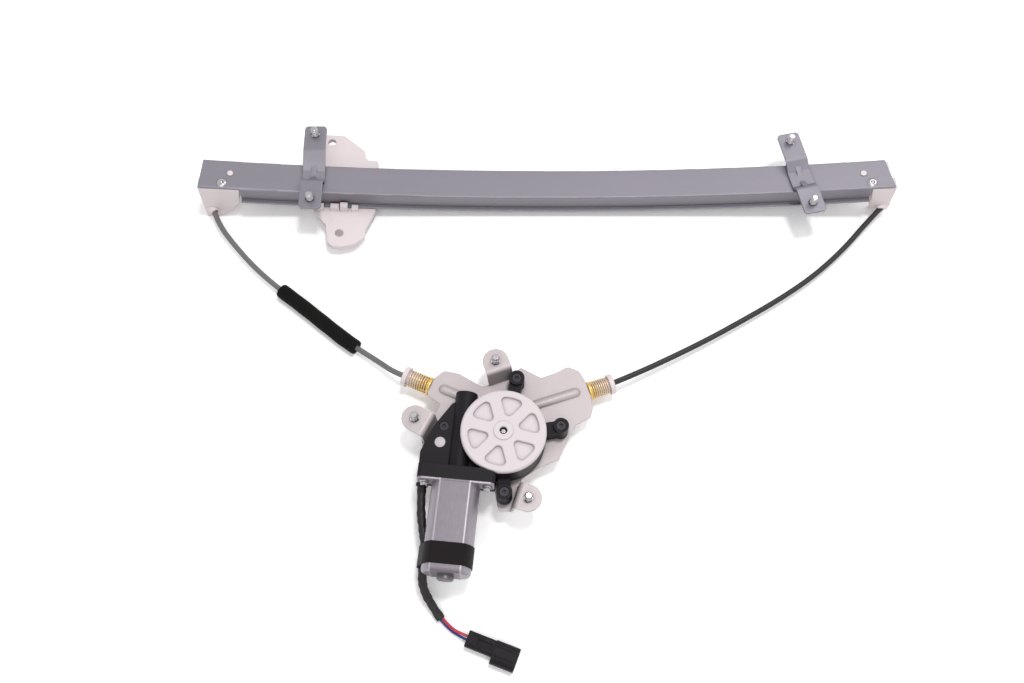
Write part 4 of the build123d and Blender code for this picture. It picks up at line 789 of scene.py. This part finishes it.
SCREW_ALONG, SCREW_ACROSS, SCREW_HEIGHT = 41.5 * MM, 23.0 * MM, 40.6 * MM
SCREW_OUTLINE = (
    # millimetres from its axis and over its seat: the shank, then the washer under the hexagon
    (0.0, -9.0), (1.9, -9.0), (1.9, 0.0), (3.6, 0.0), (3.6, 0.5), (2.9, 1.0), (0.0, 1.0),
)
HEXAGON_RADIUS, HEXAGON_HEIGHT, HEXAGON_MIDDLE, HEXAGON_ROUND = 3.1 * MM, 3.0 * MM, 2.0 * MM, 0.35 * MM


def in_mm(outline):
    """An outline written in millimetres, in metres."""
    return [(radius * MM, height * MM) for radius, height in outline]


def stud_outline(low, high, pitch):
    """A weld stud with a rolled thread and a dog point, from its foot to its tip."""
    height = low + STUD_FOOT
    outline = [(0, low), (STUD_RADIUS, low), (STUD_RADIUS, height)]
    while height + pitch < high - STUD_POINT:
        outline += [
            (STUD_RADIUS - THREAD_DEPTH, height + THREAD_ROOT * pitch),
            (STUD_RADIUS, height + THREAD_CREST * pitch), (STUD_RADIUS, height + pitch),
        ]
        height += pitch
    for (inwards, up), start in zip(STUD_TIP, (height, high, high)):
        outline.append((STUD_RADIUS - inwards * MM, start + up * MM))
    return outline + [(0, high)]


def threaded_studs(name, places, node, pitch, material):
    """Threaded studs that stand on a plate or on brackets, in place of their plain shanks."""
    low, high = (corner[2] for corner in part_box(node))
    bm = bmesh.new()
    for x, y in places:
        turn(bm, stud_outline(low, high, pitch), Vector((x, y, 0)), Vector((0, 0, 1)))
    studs = finished(name, bm, crease=25.0)
    finish_slots(studs, material)
    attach(studs, "regulator")
    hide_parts(node)


def tubular_rivets(material):
    """The rivets through the guides, square to the bowed rail."""
    bm = bmesh.new()
    low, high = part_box("guide_rivets")
    for x, y in RIVETS:
        lean = Vector((-x / BOW_RADIUS, 0, 1)).normalized()
        top = Vector((x, y, high[2])) - lean * RIVET_SINK
        shank = top[2] - low[2] - RIVET_FOOT
        turn(bm, [(0, -shank), (RIVET_SHANK, -shank), *in_mm(RIVET_HEAD)], top, lean, steps=36)
    rivets = finished("tubular_rivets", bm, crease=35.0)
    finish_slots(rivets, material)
    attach(rivets, "regulator")
    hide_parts("guide_rivets")


def hexagon_flange_screws(material):
    """The two screws that hold the can's flange to the gear housing."""
    bm = bmesh.new()
    for side in (-1, 1):
        seat = MOTOR_FOOT + MOTOR_WAY * SCREW_ALONG + MOTOR_ACROSS * side * SCREW_ACROSS
        seat.z = SCREW_HEIGHT
        turn(bm, in_mm(SCREW_OUTLINE), seat, MOTOR_WAY)
        hexagon = bmesh.ops.create_cone(
            bm, cap_ends=True, segments=6, radius1=HEXAGON_RADIUS, radius2=HEXAGON_RADIUS,
            depth=HEXAGON_HEIGHT, matrix=stood_at(seat + MOTOR_WAY * HEXAGON_MIDDLE, MOTOR_WAY),
        )
        rounded_edges(bm, hexagon["verts"], HEXAGON_ROUND)
    screws = finished("hexagon_flange_screws", bm, crease=30.0)
    finish_slots(screws, material)
    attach(screws, "regulator")
    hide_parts("flange_screws")


class REGULATOR_OT_fasteners(bpy.types.Operator):
    """Make the threaded studs, the tubular rivets and the flange screws"""

    bl_idname = "regulator.fasteners"
    bl_label = "Studs, rivets and screws"

    def execute(self, context):
        bright = bright_zinc(context.scene.regulator_colours)
        pitch = context.scene.regulator_sizes.thread_pitch
        threaded_studs("threaded_plate_studs", PLATE_STUDS, "plate_studs", pitch, bright)
        threaded_studs("threaded_bracket_studs", BRACKET_STUDS, "bracket_studs", pitch, bright)
        tubular_rivets(bright)
        hexagon_flange_screws(bright)
        return {"FINISHED"}


# ------------------------------------------------------------------ tension springs

DRUM_LEVEL = 15.0 * MM  # of the cables' centres over the table
SPRINGS = (
    # side, where its cable starts from the hub, its way, the seat's distance along it, free length
    ("left", (0.00797, 0.01834), (-0.9170601, 0.3987491, 0), 0.0708, 0.0197),
    ("right", (-0.00628, 0.01899), (0.9494255, 0.3139925, 0), 0.0760, 0.0170),
)
SPRING_MEAN, SPRING_WIRE, SPRING_TURNS = 6.4 * MM, 0.62 * MM, 9  # both are radii
WIRE_SIDES, TURN_STEPS = 10, 26
SEAT_BAND = 1.8 * MM
SEAT_OUTLINE = (
    (5.7 * MM, 0), (7.2 * MM, 0), (7.4 * MM, 0.2 * MM), (7.4 * MM, SEAT_BAND - 0.3 * MM),
    (7.1 * MM, SEAT_BAND), (5.7 * MM, SEAT_BAND),
)


def wound_wire(bm, length):
    """A closed coil about Z, from the seat band up to the spring's length."""
    wire = bmesh.ops.create_circle(
        bm, cap_ends=False, radius=SPRING_WIRE, segments=WIRE_SIDES,
        matrix=Matrix.Translation((SPRING_MEAN, 0, SEAT_BAND)) @ Matrix.Rotation(pi / 2, 4, "X"),
    )
    steps = TURN_STEPS * SPRING_TURNS
    rise = (length - SEAT_BAND - SPRING_WIRE) / steps
    bmesh.ops.spin(
        bm, geom=wire["verts"] + bm.edges[:], cent=(0, 0, 0), axis=(0, 0, 1), dvec=(0, 0, rise),
        angle=2 * pi * SPRING_TURNS, steps=steps, use_merge=False,
    )
    bmesh.ops.holes_fill(bm, edges=[e for e in bm.edges if e.is_boundary], sides=0)
    bmesh.ops.recalc_face_normals(bm, faces=bm.faces)


class REGULATOR_OT_springs(bpy.types.Operator):
    """Wind the tension springs, each on its seat band"""

    bl_idname = "regulator.springs"
    bl_label = "Tension springs"

    def execute(self, context):
        gold = yellow_zinc(context.scene.regulator_colours)
        for side, leaves, way, reach, length in SPRINGS:
            way = Vector(way)
            seat = HUB + Vector((*leaves, DRUM_LEVEL)) + way * reach
            bm = bmesh.new()
            wound_wire(bm, length)
            bmesh.ops.transform(bm, matrix=stood_at(seat, way), verts=bm.verts)
            turn(bm, SEAT_OUTLINE, seat, way, steps=40, ring=True)
            spring = finished(f"{side}_coil_spring", bm, crease=50.0)
            finish_slots(spring, gold)
            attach(spring, "regulator")
            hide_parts(f"{side}_spring")
            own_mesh(spring)
        return {"FINISHED"}


# ------------------------------------------------------------------ finishes of the CAD nodes

STEEL = (
    (galvanised_sheet, ("guide_rail", "left_rail_bracket", "right_rail_bracket")),
    (zinc_plate, ("drum_plate",)),
    (drawn_can, ("motor_can",)),
)
MOULDINGS = (
    (
        acetal,
        (
            "window_carrier", "left_cable_guide", "right_cable_guide", "left_ferrule", "right_ferrule",
            "drum_housing",
        ),
    ),
    (black_nylon, ("gear_housing", "plug_housing", "brush_holder")),
    (cover_polymer, ("gear_cover",)),
)


def finish_nodes(families, colours):
    """Make each family's material and give it to the family's CAD nodes."""
    for make, nodes in families:
        material = make(colours)
        for name in nodes:
            finish_slots(frame["nodes"][name], material)


class REGULATOR_OT_steel(bpy.types.Operator):
    """Finish the rail, brackets, plate and motor can"""

    bl_idname = "regulator.steel"
    bl_label = "Steel parts"

    def execute(self, context):
        finish_nodes(STEEL, context.scene.regulator_colours)
        return {"FINISHED"}


class REGULATOR_OT_mouldings(bpy.types.Operator):
    """Finish the white and black plastic mouldings, and the tape"""

    bl_idname = "regulator.mouldings"
    bl_label = "Plastic mouldings"

    def execute(self, context):
        finish_nodes(MOULDINGS, context.scene.regulator_colours)
        finish_slots(frame["nodes"]["tape_band"], cloth_tape())
        return {"FINISHED"}


class REGULATOR_OT_inner_parts(bpy.types.Operator):
    """Finish the cables, gear train, motor parts and plug fittings"""

    bl_idname = "regulator.inner_parts"
    bl_label = "Inner parts"

    def execute(self, context):
        slots = {row["node"]: row["material_slot"] for row in frame["record"]["subparts"]}
        made = {slot: plain_finish(slot) for slot in PLAIN_FINISHES}
        made["bright_steel"] = bright_zinc(context.scene.regulator_colours)
        for node, slot in slots.items():
            if slot in made:
                finish_slots(frame["nodes"][node], made[slot])
        return {"FINISHED"}


# ------------------------------------------------------------------ stage

FLOOR_SIZE = 3.0  # half of its side
PAPER_SEEN, PAPER_LIT = "#FFFFFF", "#F2F2F2"  # as the camera sees it, and as it lights the part
PAPER_LIFT = 0.3  # more white where the camera sees it, so that only shadows stand out
WORLD_LIT, WORLD_SEEN = 0.48, 1.0
LAMPS = (
    # name, place, side, power
    ("key_softbox", (0.2, 0.2, 1.95), 0.26, 12.0),
    ("side_softbox", (0.95, 1.0, 1.5), 0.8, 7.5),
    ("fill_softbox", (-0.1, -1.1, 1.5), 1.4, 8.0),
)
LAMP_AIM = Vector((-0.03, 0.0, 0.0))


def backdrop_factor(tree):
    """1 for rays that should see the white background: from the camera, a mirror or through glass."""
    rays = add(tree, "ShaderNodeLightPath").outputs
    seen = add(
        tree, "ShaderNodeMath", {0: rays["Is Camera Ray"], 1: rays["Is Glossy Ray"]}, operation="MAXIMUM"
    ).outputs[0]
    return add(
        tree, "ShaderNodeMath", {0: seen, 1: rays["Is Transmission Ray"]}, operation="MAXIMUM"
    ).outputs[0]


def white_floor():
    """A floor of matt white paper, whiter to the camera than to the part."""
    bm = bmesh.new()
    bmesh.ops.create_grid(bm, x_segments=1, y_segments=1, size=FLOOR_SIZE)
    floor = finished("floor", bm)
    material, tree, shader = new_material("white_paper", linear("#E8E8E8"), 0.9, Specular_IOR_Level=0.0)
    seen = backdrop_factor(tree)
    paper = add(
        tree, "ShaderNodeMix", {0: seen, 6: linear(PAPER_LIT), 7: linear(PAPER_SEEN)}, data_type="RGBA"
    ).outputs[2]
    tree.links.new(paper, shader.inputs["Base Color"])
    whiter = add(
        tree, "ShaderNodeMix", {0: seen, 6: (0, 0, 0, 1), 7: (PAPER_LIFT, PAPER_LIFT, PAPER_LIFT, 1)},
        data_type="RGBA",
    ).outputs[2]
    lift = add(tree, "ShaderNodeBsdfDiffuse", {"Color": whiter}).outputs[0]
    both = add(tree, "ShaderNodeAddShader", {0: shader.outputs[0], 1: lift}).outputs[0]
    tree.links.new(both, tree.nodes["Material Output"].inputs["Surface"])
    finish_slots(floor, material)


def even_world():
    """A white world, dimmer to the part than to the camera."""
    world = bpy.data.worlds.new("studio")
    world.use_nodes = True
    tree = world.node_tree
    background = tree.nodes["Background"].inputs
    background["Color"].default_value = (1, 1, 1, 1)
    strength = add(
        tree, "ShaderNodeMapRange",
        {"Value": backdrop_factor(tree), "To Min": WORLD_LIT, "To Max": WORLD_SEEN},
    ).outputs[0]
    tree.links.new(strength, background["Strength"])
    return world


class REGULATOR_OT_stage(bpy.types.Operator):
    """Set a plain white floor, soft lamps and an even world"""

    bl_idname = "regulator.stage"
    bl_label = "Stage"

    def execute(self, context):
        white_floor()
        context.scene.world = even_world()
        for name, place, size, power in LAMPS:
            lamp = bpy.data.lights.new(name, "AREA")
            lamp.shape = "SQUARE"
            lamp.size = size
            lamp.energy = power
            holder = bpy.data.objects.new(name, lamp)
            holder.location = place
            aim = LAMP_AIM - Vector(place)
            holder.rotation_euler = aim.to_track_quat("-Z", "Y").to_euler()
            context.scene.collection.objects.link(holder)
        context.scene.view_settings.view_transform = "Standard"
        return {"FINISHED"}


# ------------------------------------------------------------------ panel and running

STEPS = (
    REGULATOR_OT_camera,
    REGULATOR_OT_conduits,
    REGULATOR_OT_lead,
    REGULATOR_OT_foam,
    REGULATOR_OT_springs,
    REGULATOR_OT_fasteners,
    REGULATOR_OT_steel,
    REGULATOR_OT_mouldings,
    REGULATOR_OT_inner_parts,
    REGULATOR_OT_stage,
)


class REGULATOR_PT_panel(bpy.types.Panel):
    """Lists the steps that finish the regulator"""

    bl_label = "Window regulator"
    bl_idname = "REGULATOR_PT_panel"
    bl_space_type = "VIEW_3D"
    bl_region_type = "UI"
    bl_category = "Regulator"

    def draw(self, context):
        for group in (context.scene.regulator_sizes, context.scene.regulator_colours):
            for name in group.bl_rna.properties.keys():
                if name not in ("rna_type", "name"):
                    self.layout.prop(group, name)
        for step in STEPS:
            self.layout.operator(step.bl_idname)


CLASSES = (RegulatorSizes, RegulatorColours, *STEPS, REGULATOR_PT_panel)


def register():
    """Add the classes and their settings."""
    for kind in CLASSES:
        bpy.utils.register_class(kind)
    bpy.types.Scene.regulator_sizes = bpy.props.PointerProperty(type=RegulatorSizes)
    bpy.types.Scene.regulator_colours = bpy.props.PointerProperty(type=RegulatorColours)


def unregister():
    """Take the settings and classes away."""
    del bpy.types.Scene.regulator_colours
    del bpy.types.Scene.regulator_sizes
    for kind in reversed(CLASSES):
        bpy.utils.unregister_class(kind)


def main():
    """Register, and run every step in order."""
    register()
    for step in STEPS:
        group, name = step.bl_idname.split(".")
        getattr(getattr(bpy.ops, group), name)()


if __name__ == "__main__":
    main()
